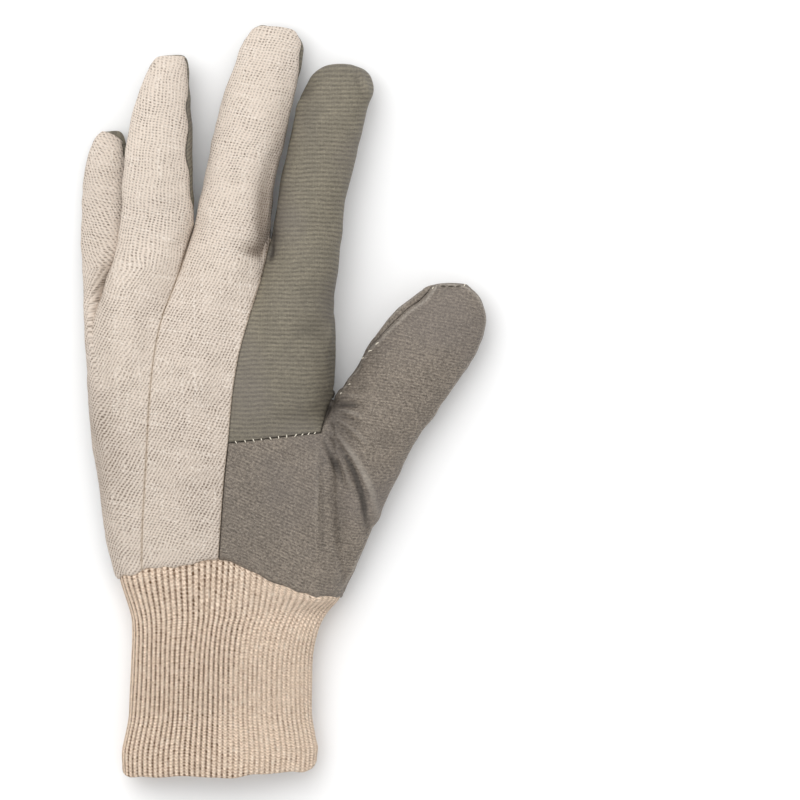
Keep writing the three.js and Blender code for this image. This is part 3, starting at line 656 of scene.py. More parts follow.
def glove_sheets():
    """All sheets of the woven skin: (piece, grid of points, faces up, flat place of each point)."""
    where = hand_where()
    rails = {name: through(places(columns), where) for name, columns in RAILS.items()}

    def hand_lane(name, side):
        left, right, steep_left, steep_right, crown = LANES[side][name]
        bends = [through(knots, where) for knots in (side * np.array(crown), steep_left, steep_right)]
        return arches(rails[left], rails[right], *bends, crowded(COLUMNS[name]))

    back, palm = ({name: hand_lane(name, side) for name in COLUMNS} for side in (BACK, PALM))
    back = dict(zip(back, eased(list(back.values()), where)))
    for side, strips in ((BACK, back), (PALM, palm)):
        for name, hand_part in strips.items():
            finger_part = finger_sheet(name, side, crowded(COLUMNS[name]))
            strips[name] = np.concatenate([hand_part, finger_part[1:]])

    hand_rows = len(where)
    seam = int(np.argmin(abs(where - BACK_SEAM_ROW)))
    crotch = int(np.argmin(abs(where - THUMB_CROTCH_ROW)))
    flat_back = {name: unrolled(strip) for name, strip in back.items()}
    flat_palm = {name: unrolled(strip) for name, strip in palm.items()}
    joined([flat_back["little"], flat_back["ring"]], hand_rows)
    joined([flat_palm["little"], flat_palm["ring"], flat_palm["middle"]], hand_rows)
    flat_palm["index"] = wrapped_on(flat_back["index"], back["index"], palm["index"])

    thumb_rows = tip_where(len(THUMB["xl"]), ROWS_PER_THUMB_KNOT, FINE_NEAR)
    fold = back["index"][:crotch + 1, -1][::-1]
    palm_seam = palm["middle"][:crotch + 1, -1][::-1]
    thumb_back = thumb_sheet(fold, BACK, thumb_rows)
    thumb_front = thumb_sheet(palm_seam, PALM, thumb_rows)
    lower_back = rotated(flat_back["index"][:seam + 1], LOWER_BACK_RIB_SLOPE)
    sheets = [
        ("cotton_back_outer", back["little"], True, flat_back["little"]),
        ("cotton_back_outer", back["ring"], True, flat_back["ring"]),
        ("cotton_back_middle", back["middle"], True, flat_back["middle"]),
        ("index_wrap", back["index"][seam:], True, flat_back["index"][seam:]),
        ("index_wrap", palm["index"][crotch:], False, flat_palm["index"][crotch:]),
        ("thumb_back", back["index"][:seam + 1], True, lower_back),
        ("thumb_back", thumb_back, True, rotated(unrolled(thumb_back), THUMB_RIB_SLOPE)),
        ("thumb_front", thumb_front, False, rotated(unrolled(thumb_front), THUMB_RIB_SLOPE)),
        ("palm_cloth", palm["little"], False, flat_palm["little"]),
        ("palm_cloth", palm["ring"], False, flat_palm["ring"]),
        ("palm_cloth", palm["middle"], False, flat_palm["middle"]),
    ]
    lines = {
        "index_side": back["index"][hand_rows - 1:, 0],
        "index_tip": back["index"][-1],
        "back_seam": back["index"][seam],
        "over": [back["little"][0], back["ring"][0][1:], back["middle"][0][1:], back["index"][0][1:]],
        "under": [palm["little"][0], palm["ring"][0][1:], palm["middle"][0][1:]],
        "opening_over": thumb_back[thumb_rows <= 1, -1][1:],
        "opening_under": thumb_front[thumb_rows <= 1, -1][1:],
    }
    return sheets, lines


def wrapped_on(flat, strip, beyond):
    """Flat places of a sheet that carries on past the strip's right side, round to the other face."""
    steps = np.linalg.norm(np.diff(beyond, axis=1), axis=2)[:, ::-1]
    run = np.pad(np.cumsum(steps, axis=1), ((0, 0), (1, 0)))[:, ::-1]
    across = unit(strip[:, -1, :2] - strip[:, 0, :2])
    return flat[:, -1:] + across[:, None] * run[..., None]


def rotated(flat, degrees):
    """Flat places turned, so that the cloth's ribs slope by that many degrees down to the right."""
    turn = math.radians(degrees)
    u, v = flat[..., 0], flat[..., 1]
    return np.stack([u * math.cos(turn) - v * math.sin(turn), u * math.sin(turn) + v * math.cos(turn)], -1)


def split_grid(shape, faces_up):
    """Triangles of a grid as indices into its points, counter-clockwise seen from outside."""
    index = np.arange(shape[0] * shape[1]).reshape(shape[:2])
    a, b, c, d = index[:-1, :-1], index[:-1, 1:], index[1:, 1:], index[1:, :-1]
    halves = np.concatenate([np.stack(t, -1).reshape(-1, 3) for t in ((a, b, c), (a, c, d))])
    return halves if faces_up else halves[:, ::-1]


def copies(triangles):
    """How many triangles have the same three vertices as each one: two where sheets close on each other."""
    _, same, counts = np.unique(np.sort(triangles, axis=1), axis=0, return_inverse=True, return_counts=True)
    return counts[same.reshape(-1)]


def corner_sums(triangles, vectors, count):
    """For each vertex, the sum of its triangles' vectors."""
    sums = np.zeros((count, 3))
    for k in range(3):
        for axis in range(3):
            sums[:, axis] += np.bincount(triangles[:, k], vectors[:, axis], count)
    return sums


def softened(vectors, triangles, passes):
    """The vertices' vectors averaged with their neighbours', over and over."""
    a, b = triangles.reshape(-1), np.roll(triangles, -1, axis=1).reshape(-1)
    count = len(vectors)
    weights = np.bincount(a, minlength=count) + np.bincount(b, minlength=count) + 1
    for _ in range(passes):
        around = [
            np.bincount(a, vectors[b, axis], count) + np.bincount(b, vectors[a, axis], count)
            for axis in range(3)
        ]
        vectors = (vectors + np.stack(around, axis=1)) / weights[:, None]
    return vectors


def vertex_normals(points, triangles):
    """Normals of a mesh at its vertices."""
    a, b, c = (points[triangles[:, k]] for k in range(3))
    return unit(corner_sums(triangles, np.cross(b - a, c - a), len(points)))


# Relief of the skin
KEYS_PER_MM, KEY_SHIFT = 1000, 0.317  # points with the same key become one vertex
FOLD_STEPS = 25  # points along a fold's line
FOLD_SEARCH = 45  # how far from its middle a fold can reach
FOLD_FADE = 0.6  # the lower, the more of its length a fold keeps at full height
# Noises are given as the size of their lumps, a seed and, for some, a stretch along x, y and z
LUMPS = (15, 3.1)
SMALL_LUMPS, SMALL_LUMP_SHARE = (6.5, 11.7, (0.6, 1.3, 1)), 0.5
SEAM_CALM, HEM_CALM = 6, 8  # how far from a seam and from the hem the lumps have their full height
LUMP_AT_SEAM = 0.45  # their share of it there
FOLDS_FROM_SEAM = 2  # how far from a seam the folds have theirs
PUCKERS, PUCKER = (2.6, 23.3), 0.45  # how unevenly the cloth is drawn into a seam
SWELL, SWELL_AT, SWELL_WIDTH = 0.22, 3.2, 1.7  # the soft ridge beside a seam
HEM_REACH = 2.4  # how far from the wrist's edge the cloth starts to turn in
HEM_DEPTH = 1.5
HEM_GATHERS, HEM_GATHER = (5.0, 31.9), 0.3
HEM_SCALLOPS, HEM_SCALLOP, HEM_SCALLOP_REACH = (5.5, 41.3), 1.5, 5  # how the hem wanders up and down
ALLOWANCE = 3.6  # how far from a seam the folded cloth inside ends
ALLOWANCE_STEP, ALLOWANCE_WIDTH = 0.3, 0.6  # how deep and how wide the step down from it is
LIGHT_LINE_AT, LIGHT_LINE_WIDTH = ALLOWANCE - 1.1, 0.55  # where a lighter line is painted over it
TURNED_IN_FROM = (1.1, 1.3)  # strength of a seam whose folded cloth shows through
TURNED_IN_HEM = 5  # how far from the hem it does so fully
LIFT = 0.08  # lowest place of the cloth above the surface
INSIDE_LIFT = 0.3  # how much higher its inside lies there
NORMAL_PASSES = 5  # how often the directions are softened in which the relief moves the skin
SPIKE = (0.28, 0.5)  # a vertex that stands this far off its neighbours is drawn back to them
ROOM_START, ROOM_SEARCH = 0.05, 20  # where the search for the opposite sheet starts and ends
THINNEST, ROOM_SHARE = 0.15, 0.38  # the cloth's least thickness, and its share of a narrow gap
FINGER_LEANS = {0: -0.5, 1: 0.12, 2: 0.45}  # of the weave's lines on the little, ring and middle finger
# Seams that are fainter or stronger than the others
SEAM_STRENGTHS = [
    ({"cotton_back_outer", "cotton_back_middle"}, 0.32),
    ({"index_wrap", "thumb_back"}, 0.7),
    ({"cotton_back_middle", "index_wrap"}, 0.5),
    ({"thumb_back", "thumb_front"}, 1.35),
]


def distances(points, line_points):
    """For each point, how far the nearest of the line's points is and which one it is."""
    tree = KDTree(len(line_points))
    for i, place in enumerate(line_points):
        tree.insert(place, i)
    tree.balance()
    found = [tree.find(place)[1:] for place in points]
    return np.array([f[1] for f in found]), np.array([f[0] for f in found])


def cloth_noise(points, scale, seed, stretch=(1, 1, 1)):
    """Soft noise from -1 to 1 at points, with lumps of about the given size."""
    places_in_noise = points / scale * stretch + seed
    return np.array([noise.noise(Vector(p)) for p in places_in_noise])


def fold_rise(points, side):
    """How much the folds raise each point of that side of the glove."""
    rise = np.zeros(len(points))
    t = np.linspace(0, 1, FOLD_STEPS)[:, None]
    plan = points[:, :2]
    for fold_side, x0, y0, x1, y1, x2, y2, width, height in zip(*FOLDS.values()):
        start, bend, end = (np.array(place) for place in ((x0, y0), (x1, y1), (x2, y2)))
        line = (1 - t) ** 2 * start + 2 * t * (1 - t) * bend + t**2 * end
        close = (side == fold_side) & (np.abs(plan - line.mean(0)).max(1) < FOLD_SEARCH)
        if not close.any():
            continue
        gaps = np.linalg.norm(plan[close][:, None] - line[None], axis=2)
        along = t[gaps.argmin(1), 0]
        rise[close] += height * np.sin(along * np.pi) ** FOLD_FADE * hump(gaps.min(1), width)
    return rise


def painted_shade_amount(points):
    """How much painted shade darkens each point, from 0 to 1."""
    clean = np.ones(len(points))
    for x, y, reach_x, reach_y, amount in zip(*PAINTED_SHADE_PLACES.values()):
        clean *= 1 - amount * near_place(points, x, y, reach_x, reach_y)
    return 1 - clean


def pushed(points):
    """How far the section is pushed aside at each point."""
    shift = np.zeros_like(points)
    for x, y, reach_x, reach_y, z_low, z_high, dx, dy in zip(*PUSHES.values()):
        near = near_place(points, x, y, reach_x, reach_y) * smooth(points[:, 2], z_low, z_high)
        shift[:, 0] += near * dx
        shift[:, 1] += near * dy
    return shift


class GloveSkin:
    """The woven skin as one mesh: its shape with seams, folds and lumps, and what belongs to each piece."""

    def __init__(self, thickness, seam_depth, seam_reach, seam_gap, lump):
        sheets, self.lines = glove_sheets()
        points = np.concatenate([grid.reshape(-1, 3) for _, grid, _, _ in sheets])
        flats = np.concatenate([flat.reshape(-1, 2) for *_, flat in sheets])
        starts = np.cumsum([0] + [grid.shape[0] * grid.shape[1] for _, grid, _, _ in sheets])
        corners = [split_grid(grid.shape, up) + start for (_, grid, up, _), start in zip(sheets, starts)]
        self.names = list(dict.fromkeys(name for name, *_ in sheets))
        owner = np.concatenate([np.full(len(c), self.names.index(s[0])) for c, s in zip(corners, sheets)])
        facing = np.concatenate([np.full(len(c), 1 if s[2] else -1) for c, s in zip(corners, sheets)])
        corners = np.concatenate(corners)
        keys = np.floor(points * KEYS_PER_MM + KEY_SHIFT).astype(np.int64)
        _, first, same = np.unique(keys, axis=0, return_index=True, return_inverse=True)
        triangles = same.reshape(-1)[corners]
        real = (triangles != np.roll(triangles, 1, axis=1)).all(1) & (copies(triangles) == 1)
        leans = [np.full(sheet[1][..., 0].size, FINGER_LEANS.get(i, 0)) for i, sheet in enumerate(sheets)]
        self.lean = np.concatenate(leans)[first]
        self.points = points[first]
        self.triangles, self.owner, self.flats = triangles[real], owner[real], flats[corners[real]]
        self.seam_reach, self.seam_gap = seam_reach, seam_gap
        self.shape(facing[real], seam_depth, lump)
        self.normals = vertex_normals(self.points, self.triangles)
        self.depths = self.room(thickness)

    def edges(self):
        """Seam vertices between two pieces, how strong their seam is, and rim vertices on open edges."""
        starts = self.triangles.reshape(-1)
        ends = np.roll(self.triangles, -1, axis=1).reshape(-1)
        owners = np.repeat(self.owner, 3)
        low, high = np.minimum(starts, ends), np.maximum(starts, ends)
        order = np.lexsort((high, low))
        low, high, owners = low[order], high[order], owners[order]
        paired = (low[1:] == low[:-1]) & (high[1:] == high[:-1])
        seam = np.flatnonzero(paired & (owners[1:] != owners[:-1]))
        pairs = [{self.names[a], self.names[b]} for a, b in zip(owners[seam], owners[seam + 1])]
        strong = [next((s for names, s in SEAM_STRENGTHS if names == pair), 1.0) for pair in pairs]
        alone = np.ones(len(low), bool)
        alone[1:][paired] = False
        alone[:-1][paired] = False
        rim = np.flatnonzero(alone)
        vertices, first = np.unique([low[seam], high[seam]], return_index=True)
        return vertices, np.tile(strong, 2)[first], np.unique([low[rim], high[rim]])

    def shape(self, facing, seam_depth, lump):
        """Moves the skin: folds, lumps, the roll into each seam and the turned hem at the wrist."""
        ups = np.bincount(self.triangles.reshape(-1), np.repeat(facing, 3), len(self.points))
        seam, strength, rim = self.edges()
        extra = np.concatenate([self.lines["index_side"], self.lines["index_tip"]])
        strength = np.concatenate([strength, np.ones(len(extra))])
        self.seam_distance, nearest = distances(self.points, np.concatenate([self.points[seam], extra]))
        self.seam_strength = strength[nearest]
        self.rim_distance, _ = distances(self.points, self.points[rim])
        self.points = self.points + pushed(self.points)
        at_hem = 1 - smooth(self.rim_distance, 0, HEM_SCALLOP_REACH)
        self.points[:, 1] += HEM_SCALLOP * cloth_noise(self.points, *HEM_SCALLOPS) * at_hem
        normals = unit(softened(vertex_normals(self.points, self.triangles), self.triangles, NORMAL_PASSES))
        free = smooth(self.seam_distance, 0, SEAM_CALM) * smooth(self.rim_distance, 0, HEM_CALM)
        self.folds = fold_rise(self.points, np.sign(ups)) * smooth(self.seam_distance, 0, FOLDS_FROM_SEAM)
        self.folds += lump * SMALL_LUMP_SHARE * cloth_noise(self.points, *SMALL_LUMPS)
        # painted shade at the listed places, for the finishes
        self.painted_shade = painted_shade_amount(self.points)
        lump_share = LUMP_AT_SEAM + (1 - LUMP_AT_SEAM) * free
        rise = self.folds + lump * cloth_noise(self.points, *LUMPS) * lump_share
        rise += self.seam_rise(seam_depth)
        gather = 1 + HEM_GATHER * cloth_noise(self.points, *HEM_GATHERS)
        rise -= HEM_DEPTH * rounded_edge(self.rim_distance, HEM_REACH) * gather
        self.points = self.points + normals * rise[:, None]
        calm = softened(self.points, self.triangles, 1)
        spike = smooth(np.linalg.norm(self.points - calm, axis=1), *SPIKE)[:, None]
        self.points += (calm - self.points) * spike
        self.points[:, 2] = np.maximum(self.points[:, 2], LIFT)

    def seam_rise(self, seam_depth):
        """How the cloth rolls into its seams, swells beside them and steps over the folded cloth inside."""
        pucker = 1 + PUCKER * cloth_noise(self.points, *PUCKERS)
        roll = -seam_depth * rounded_edge(self.seam_distance, self.seam_reach)
        swell = SWELL * hump(self.seam_distance - SWELL_AT, SWELL_WIDTH)
        turned_in = smooth(self.seam_strength, *TURNED_IN_FROM)
        turned_in = turned_in * smooth(self.rim_distance, 0, TURNED_IN_HEM)
        self.ridge = turned_in * hump(self.seam_distance - LIGHT_LINE_AT, LIGHT_LINE_WIDTH)
        step = ALLOWANCE_STEP * turned_in * hump(self.seam_distance - ALLOWANCE, ALLOWANCE_WIDTH)
        return (roll + swell) * pucker * self.seam_strength - step

    def room(self, thickness):
        """Cloth thickness at each vertex: full, but less where the opposite sheet is close."""
        tree = BVHTree.FromPolygons(self.points.tolist(), self.triangles.tolist())
        depths = []
        for place, inward in zip(self.points, -self.normals):
            start = Vector(place + ROOM_START * inward)
            gap = tree.ray_cast(start, Vector(inward), ROOM_SEARCH)[3]
            depths.append(thickness if gap is None else min(thickness, max(THINNEST, ROOM_SHARE * gap)))
        return np.array(depths)

    def piece(self, name):
        """A closed wall of one cloth piece: points, triangles, flat places and fields for the material."""
        mine = self.owner == self.names.index(name)
        used, triangles = np.unique(self.triangles[mine], return_inverse=True)
        triangles = triangles.reshape(-1, 3)
        flats = self.flats[mine]
        points, normals = self.points[used], self.normals[used]
        starts, ends = triangles.reshape(-1), np.roll(triangles, -1, axis=1).reshape(-1)
        codes, back = starts * len(used) + ends, ends * len(used) + starts
        open_edges = np.flatnonzero(~np.isin(codes, back))
        a, b = starts[open_edges], ends[open_edges]
        p, q, r = (points[triangles[open_edges // 3, k]] for k in range(3))
        into = unit(np.cross(unit(np.cross(q - p, r - p)), unit(points[b] - points[a])))
        away = np.zeros_like(points)
        np.add.at(away, a, into)
        np.add.at(away, b, into)
        away -= normals * (away * normals).sum(1, keepdims=True)
        moved = np.linalg.norm(away, axis=1) > 0
        outer = points + unit(away) * (moved * self.seam_gap / 2 * self.seam_strength[used])[:, None]
        inner = outer - normals * self.depths[used][:, None]
        inner[:, 2] = np.maximum(inner[:, 2], LIFT + INSIDE_LIFT)
        shift = len(used)
        rim = np.concatenate([np.stack(t, 1) for t in ((b, a, a + shift), (b, a + shift, b + shift))])
        edge_flat = dict(zip(triangles.reshape(-1).tolist(), flats.reshape(-1, 2)))
        rim_flats = np.array([[edge_flat[v % shift] for v in t] for t in rim.tolist()])
        inner_triangles = triangles[:, ::-1] + shift
        fields = {
            "seam_mm": np.minimum(self.seam_distance, self.rim_distance),
            "fold_mm": self.folds,
            "ridge": self.ridge,
            "painted_shade": self.painted_shade,
            "lean": self.lean,
        }
        return (
            np.concatenate([outer, inner]),
            np.concatenate([triangles, inner_triangles, rim]),
            np.concatenate([flats, flats[:, ::-1], rim_flats]),
            {field: np.tile(numbers[used], 2) for field, numbers in fields.items()},
        )


@functools.cache
def skin_for(thickness, seam_depth, seam_reach, seam_gap, lump):
    """The woven skin for those sizes, made once."""
    return GloveSkin(thickness, seam_depth, seam_reach, seam_gap, lump)


def glove_skin(context):
    """The woven skin for the sizes that the scene holds."""
    sizes = context.scene.glove_cloth
    return skin_for(
        mm(sizes.thickness), mm(sizes.seam_depth), mm(sizes.seam_reach), mm(sizes.seam_gap), mm(sizes.lump)
    )


def new_object(name, points, triangles, material, flats=None, fields=None, sharp_deg=70):
    """A mesh object of table points, with its flat places and named numbers for the material."""
    mesh = bpy.data.meshes.new(name)
    mesh.from_pydata(to_part(points).tolist(), [], triangles.tolist())
    if mesh.validate():
        raise RuntimeError(f"{name} has broken faces")
    if flats is not None:
        attribute = mesh.attributes.new("cloth", "FLOAT_VECTOR", "CORNER")
        three = np.pad(flats.reshape(-1, 2), ((0, 0), (0, 1)))
        attribute.data.foreach_set("vector", three.astype(np.float32).ravel())
    for field, numbers in (fields or {}).items():
        attribute = mesh.attributes.new(field, "FLOAT", "POINT")
        attribute.data.foreach_set("value", numbers.astype(np.float32))
    mesh.shade_smooth()
    mesh.set_sharp_from_angle(angle=math.radians(sharp_deg))
    mesh.materials.append(material)
    made = bpy.data.objects.new(name, mesh)
    bpy.context.scene.collection.objects.link(made)
    return made


def stand_in(made):
    """Makes a new object take the place of its CAD node."""
    node, slot = PIECES[made.name]
    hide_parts(node)
    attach(made, "root")
    return made


def math_operator(operation, swapped=False):
    """An operator between a Value and another number."""
    def apply(self, other):
        terms = (other, self) if swapped else (self, other)
        return self.finish.maths(operation, *terms)
    return apply


class Value:
    """A number socket that takes part in arithmetic: each operation adds a Math node."""

    __add__ = __radd__ = math_operator("ADD")
    __sub__ = math_operator("SUBTRACT")
    __rsub__ = math_operator("SUBTRACT", swapped=True)
    __mul__ = __rmul__ = math_operator("MULTIPLY")
    __truediv__ = math_operator("DIVIDE")
    __rtruediv__ = math_operator("DIVIDE", swapped=True)
    __pow__ = math_operator("POWER")

    def __init__(self, finish, socket):
        self.finish, self.socket = finish, socket

    def __abs__(self):
        return self.finish.maths("ABSOLUTE", self)

    def floor(self):
        """The whole number below."""
        return self.finish.maths("FLOOR", self)

    def fract(self):
        """What is left above the whole number below."""
        return self.finish.maths("FRACT", self)

    def sine(self):
        """The sine of an angle in radians."""
        return self.finish.maths("SINE", self)

    def ramp(self, low, high):
        """0 at low, 1 at high, and a soft step between."""
        node = self.finish.add(
            "ShaderNodeMapRange", {"interpolation_type": "SMOOTHSTEP"},
            {"Value": self, "From Min": low, "From Max": high},
        )
        return Value(self.finish, node.outputs[0])

    def between(self, a, b):
        """a where this is 0, b where it is 1."""
        return a + (b - a) * self


class Finish:
    """A material and the nodes that it is made of."""

    def __init__(self, name):
        self.material = bpy.data.materials.new(name)
        self.material.use_nodes = True
        self.tree = self.material.node_tree
        self.tree.nodes.clear()

    def add(self, kind, settings=None, inputs=None):
        """Adds a node: its settings come first, then the values or links of its sockets."""
        node = self.tree.nodes.new(kind)
        for name, setting in (settings or {}).items():
            setattr(node, name, setting)
        for name, given in (inputs or {}).items():
            given = given.socket if isinstance(given, Value) else given
            if isinstance(given, bpy.types.NodeSocket):
                self.tree.links.new(given, node.inputs[name])
            else:
                node.inputs[name].default_value = given
        return node

    def maths(self, operation, *terms):
        """One Math node as a value."""
        node = self.add("ShaderNodeMath", {"operation": operation}, dict(enumerate(terms)))
        return Value(self, node.outputs[0])

    def cloth_place(self):
        """The place on the flat cloth as a vector, and its two numbers in millimetres."""
        place = self.add("ShaderNodeAttribute", {"attribute_name": "cloth"}).outputs["Vector"]
        apart = self.add("ShaderNodeSeparateXYZ", inputs={0: place})
        return place, Value(self, apart.outputs[0]), Value(self, apart.outputs[1])

    def field(self, name):
        """A number that the mesh holds at each vertex."""
        return Value(self, self.add("ShaderNodeAttribute", {"attribute_name": name}).outputs["Fac"])

    def vector(self, x, y, z=0.0):
        """Three numbers as a vector."""
        return self.add("ShaderNodeCombineXYZ", inputs={0: x, 1: y, 2: z}).outputs[0]

    def noise(self, place, per_mm, detail=2.0, roughness=0.5):
        """Noise from 0 to 1, with so many lumps a millimetre."""
        inputs = {"Vector": place, "Scale": per_mm, "Detail": detail, "Roughness": roughness}
        node = self.add("ShaderNodeTexNoise", inputs=inputs)
        return Value(self, node.outputs["Fac"])

    def by_number(self, number):
        """A number from 0 to 1 that differs from one whole number to the next."""
        node = self.add("ShaderNodeTexWhiteNoise", {"noise_dimensions": "1D"}, {"W": number})
        return Value(self, node.outputs["Value"])

    def mix(self, share, a, b):
        """One colour turning into another."""
        settings = {"data_type": "RGBA", "clamp_factor": True}
        node = self.add("ShaderNodeMix", settings, {0: share, 6: rgba(a), 7: rgba(b)})
        return node.outputs[2]

    def painted(self, base, coats):
        """A colour with others laid over it one by one, each with its share."""
        for share, tint in coats:
            base = self.mix(share, base, tint)
        return base

    def surface(self, colour_link, height, height_mm, roughness, specular):
        """Joins the colour and the relief to the shader."""
        relief = {"Height": height, "Distance": height_mm * MM, "Strength": 1.0}
        bump = self.add("ShaderNodeBump", inputs=relief)
        shader = self.add("ShaderNodeBsdfPrincipled", inputs={
            "Base Color": colour_link,
            "Normal": bump.outputs[0],
            "Roughness": roughness,
            "Specular IOR Level": specular,
        })
        out = self.add("ShaderNodeOutputMaterial")
        self.tree.links.new(shader.outputs[0], out.inputs["Surface"])
        return self.material


def rgba(given):
    """A colour property as four numbers; a link stays as it is."""
    return given if isinstance(given, bpy.types.NodeSocket) else (*given[:3], 1.0)


# Tints that the finishes lay over a scene's colours
# painted shade in the creases and dips of folds and lumps
COTTON_FOLD_SHADE = (0.4, 0.31, 0.23)
# painted shade at the listed places
COTTON_PAINTED_SHADE = (0.2, 0.16, 0.13)
COTTON_DULL_THREAD = (0.6, 0.5, 0.41)
COTTON_SLUB = (0.86, 0.79, 0.71)
COTTON_STAIN = (0.7, 0.6, 0.5)
COTTON_FUZZ = (0.84, 0.77, 0.7)
# painted shade along the seams and the hem
COTTON_SEAM_SHADE = (0.42, 0.32, 0.22)
COAT_GREY = (0.16, 0.14, 0.13)
# painted shade in the creases and dips of folds and lumps
COAT_FOLD_SHADE = (0.035, 0.03, 0.026)
# painted shade at the listed places
COAT_PAINTED_SHADE = (0.06, 0.052, 0.048)
# painted shade along the seams and the hem
COAT_SEAM_SHADE = (0.05, 0.043, 0.036)
KNIT_BETWEEN_LEGS = (0.5, 0.36, 0.26)
KNIT_GRAIN = (0.5, 0.37, 0.28)
KNIT_FUZZ = (0.9, 0.77, 0.63)
KNIT_SLUB = (0.95, 0.86, 0.74)
KNIT_DULL_RIB = (0.6, 0.46, 0.34)
FLOOR_GRAIN = (0.8, 0.8, 0.8)

WEFT_SLOPE = 0.2  # how much the cotton's cross threads drop to the right
LINE_PITCH, ROW_PITCH = 1.35, 1.0  # between the slanting lines of holes, and between their rows
LEAN = 0.58  # how far the lines lean to the right on the back of the hand
FINGERS_FROM = 110.0  # where the fingers' own leans take over


@functools.cache
def cotton_finish(scene):
    """Unbleached cotton: threads that pass over and under, slanting lines of small open holes, slubs."""
    colours, pitch = scene.glove_colours, mm(scene.glove_cloth.weave_pitch)
    f = Finish("cotton_weave")
    place, u, v = f.cloth_place()
    drift = f.noise(place, 0.11, 3.0)
    jitter = f.noise(place, 0.9, 1.0)
    across = (u + drift * 3.2 + jitter * 0.7) / pitch
    along = (v + u * WEFT_SLOPE + drift * -2.8 + jitter * -0.7) / pitch
    warp, weft = (across.fract() * math.pi).sine(), (along.fract() * math.pi).sine()
    over = ((across.floor() + along.floor()) * 0.5).fract() * 2.0
    threads = over.between(weft ** 0.6 * (warp * 0.4 + 0.6), warp ** 0.6 * (weft * 0.4 + 0.6))
    finger = v.ramp(100.0, 128.0)
    beyond = f.maths("MAXIMUM", v - FINGERS_FROM, 0.0)
    row = (v + u * WEFT_SLOPE + drift * -2.0 + jitter * -0.5) / ROW_PITCH
    row_gap = abs(row.fract() - 0.5) * 2.0
    line = (u - (v - beyond) * LEAN - beyond * f.field("lean") + drift * 3.0 + jitter * 0.6) / LINE_PITCH
    open_share = f.by_number((line + 0.5).floor() * 17.3 + (row + 0.5).floor() * 91.7)
    line_gap = (abs(line.fract() - 0.5) * 2.0).ramp(0.25, 0.75)
    dot = row_gap.ramp(0.25, 0.8) * (open_share * 0.6 + 0.4)
    looseness = f.noise(place, 0.12, 2.0).ramp(0.35, 0.65) * 0.35 + 0.65
    hole = line_gap * (dot * (0.75 + finger * 0.25) + 0.3 - finger * 0.22) * looseness
    tone = over.between(f.by_number(along.floor()), f.by_number(across.floor() + 97.0))
    slub_warp = f.noise(f.vector(across * 0.9, along * 0.07), 1.0, 1.0)
    slub_weft = f.noise(f.vector(across * 0.07, along * 0.9 + 40.0), 1.0, 1.0)
    slub = over.between(slub_weft, slub_warp).ramp(0.58, 0.72)
    stain = f.noise(place, 0.035, 3.0)
    fuzz = f.noise(place, 1.5, 3.0, 0.75).ramp(0.38, 0.62)
    seam_shade_share = 1.0 - f.field("seam_mm").ramp(0.15, 0.75)
    fold = f.field("fold_mm")
    painted_shade = f.field("painted_shade")
    base = f.painted(colours.cotton, [
        ((1.0 - threads) * 0.06, colours.cotton_gap),
        # painted shade in the creases and dips of the folds and lumps
        ((0.0 - fold).ramp(0.15, 1.8) * 0.5, COTTON_FOLD_SHADE),
        # painted shade at the listed places, which also makes the holes show more and the slubs and fuzz
        # fade there
        (painted_shade * 0.9, COTTON_PAINTED_SHADE),
        (hole * (1.1 - slub * 0.6 + painted_shade * 1.2), colours.cotton_gap),
        (tone * 0.1, COTTON_DULL_THREAD),
        (slub * (1.0 - painted_shade) * 0.4, COTTON_SLUB),
        (stain.ramp(0.35, 0.75) * 0.25, COTTON_STAIN),
        (fuzz * (1.0 - painted_shade) * 0.28, COTTON_FUZZ),
        # painted shade along the seams and the hem
        (seam_shade_share * 0.4, COTTON_SEAM_SHADE),
    ])
    height = threads * 0.6 + fuzz * 0.3 + slub * 0.25 - hole * 0.7
    return f.surface(base, height, 0.24, roughness=0.95, specular=0.2)


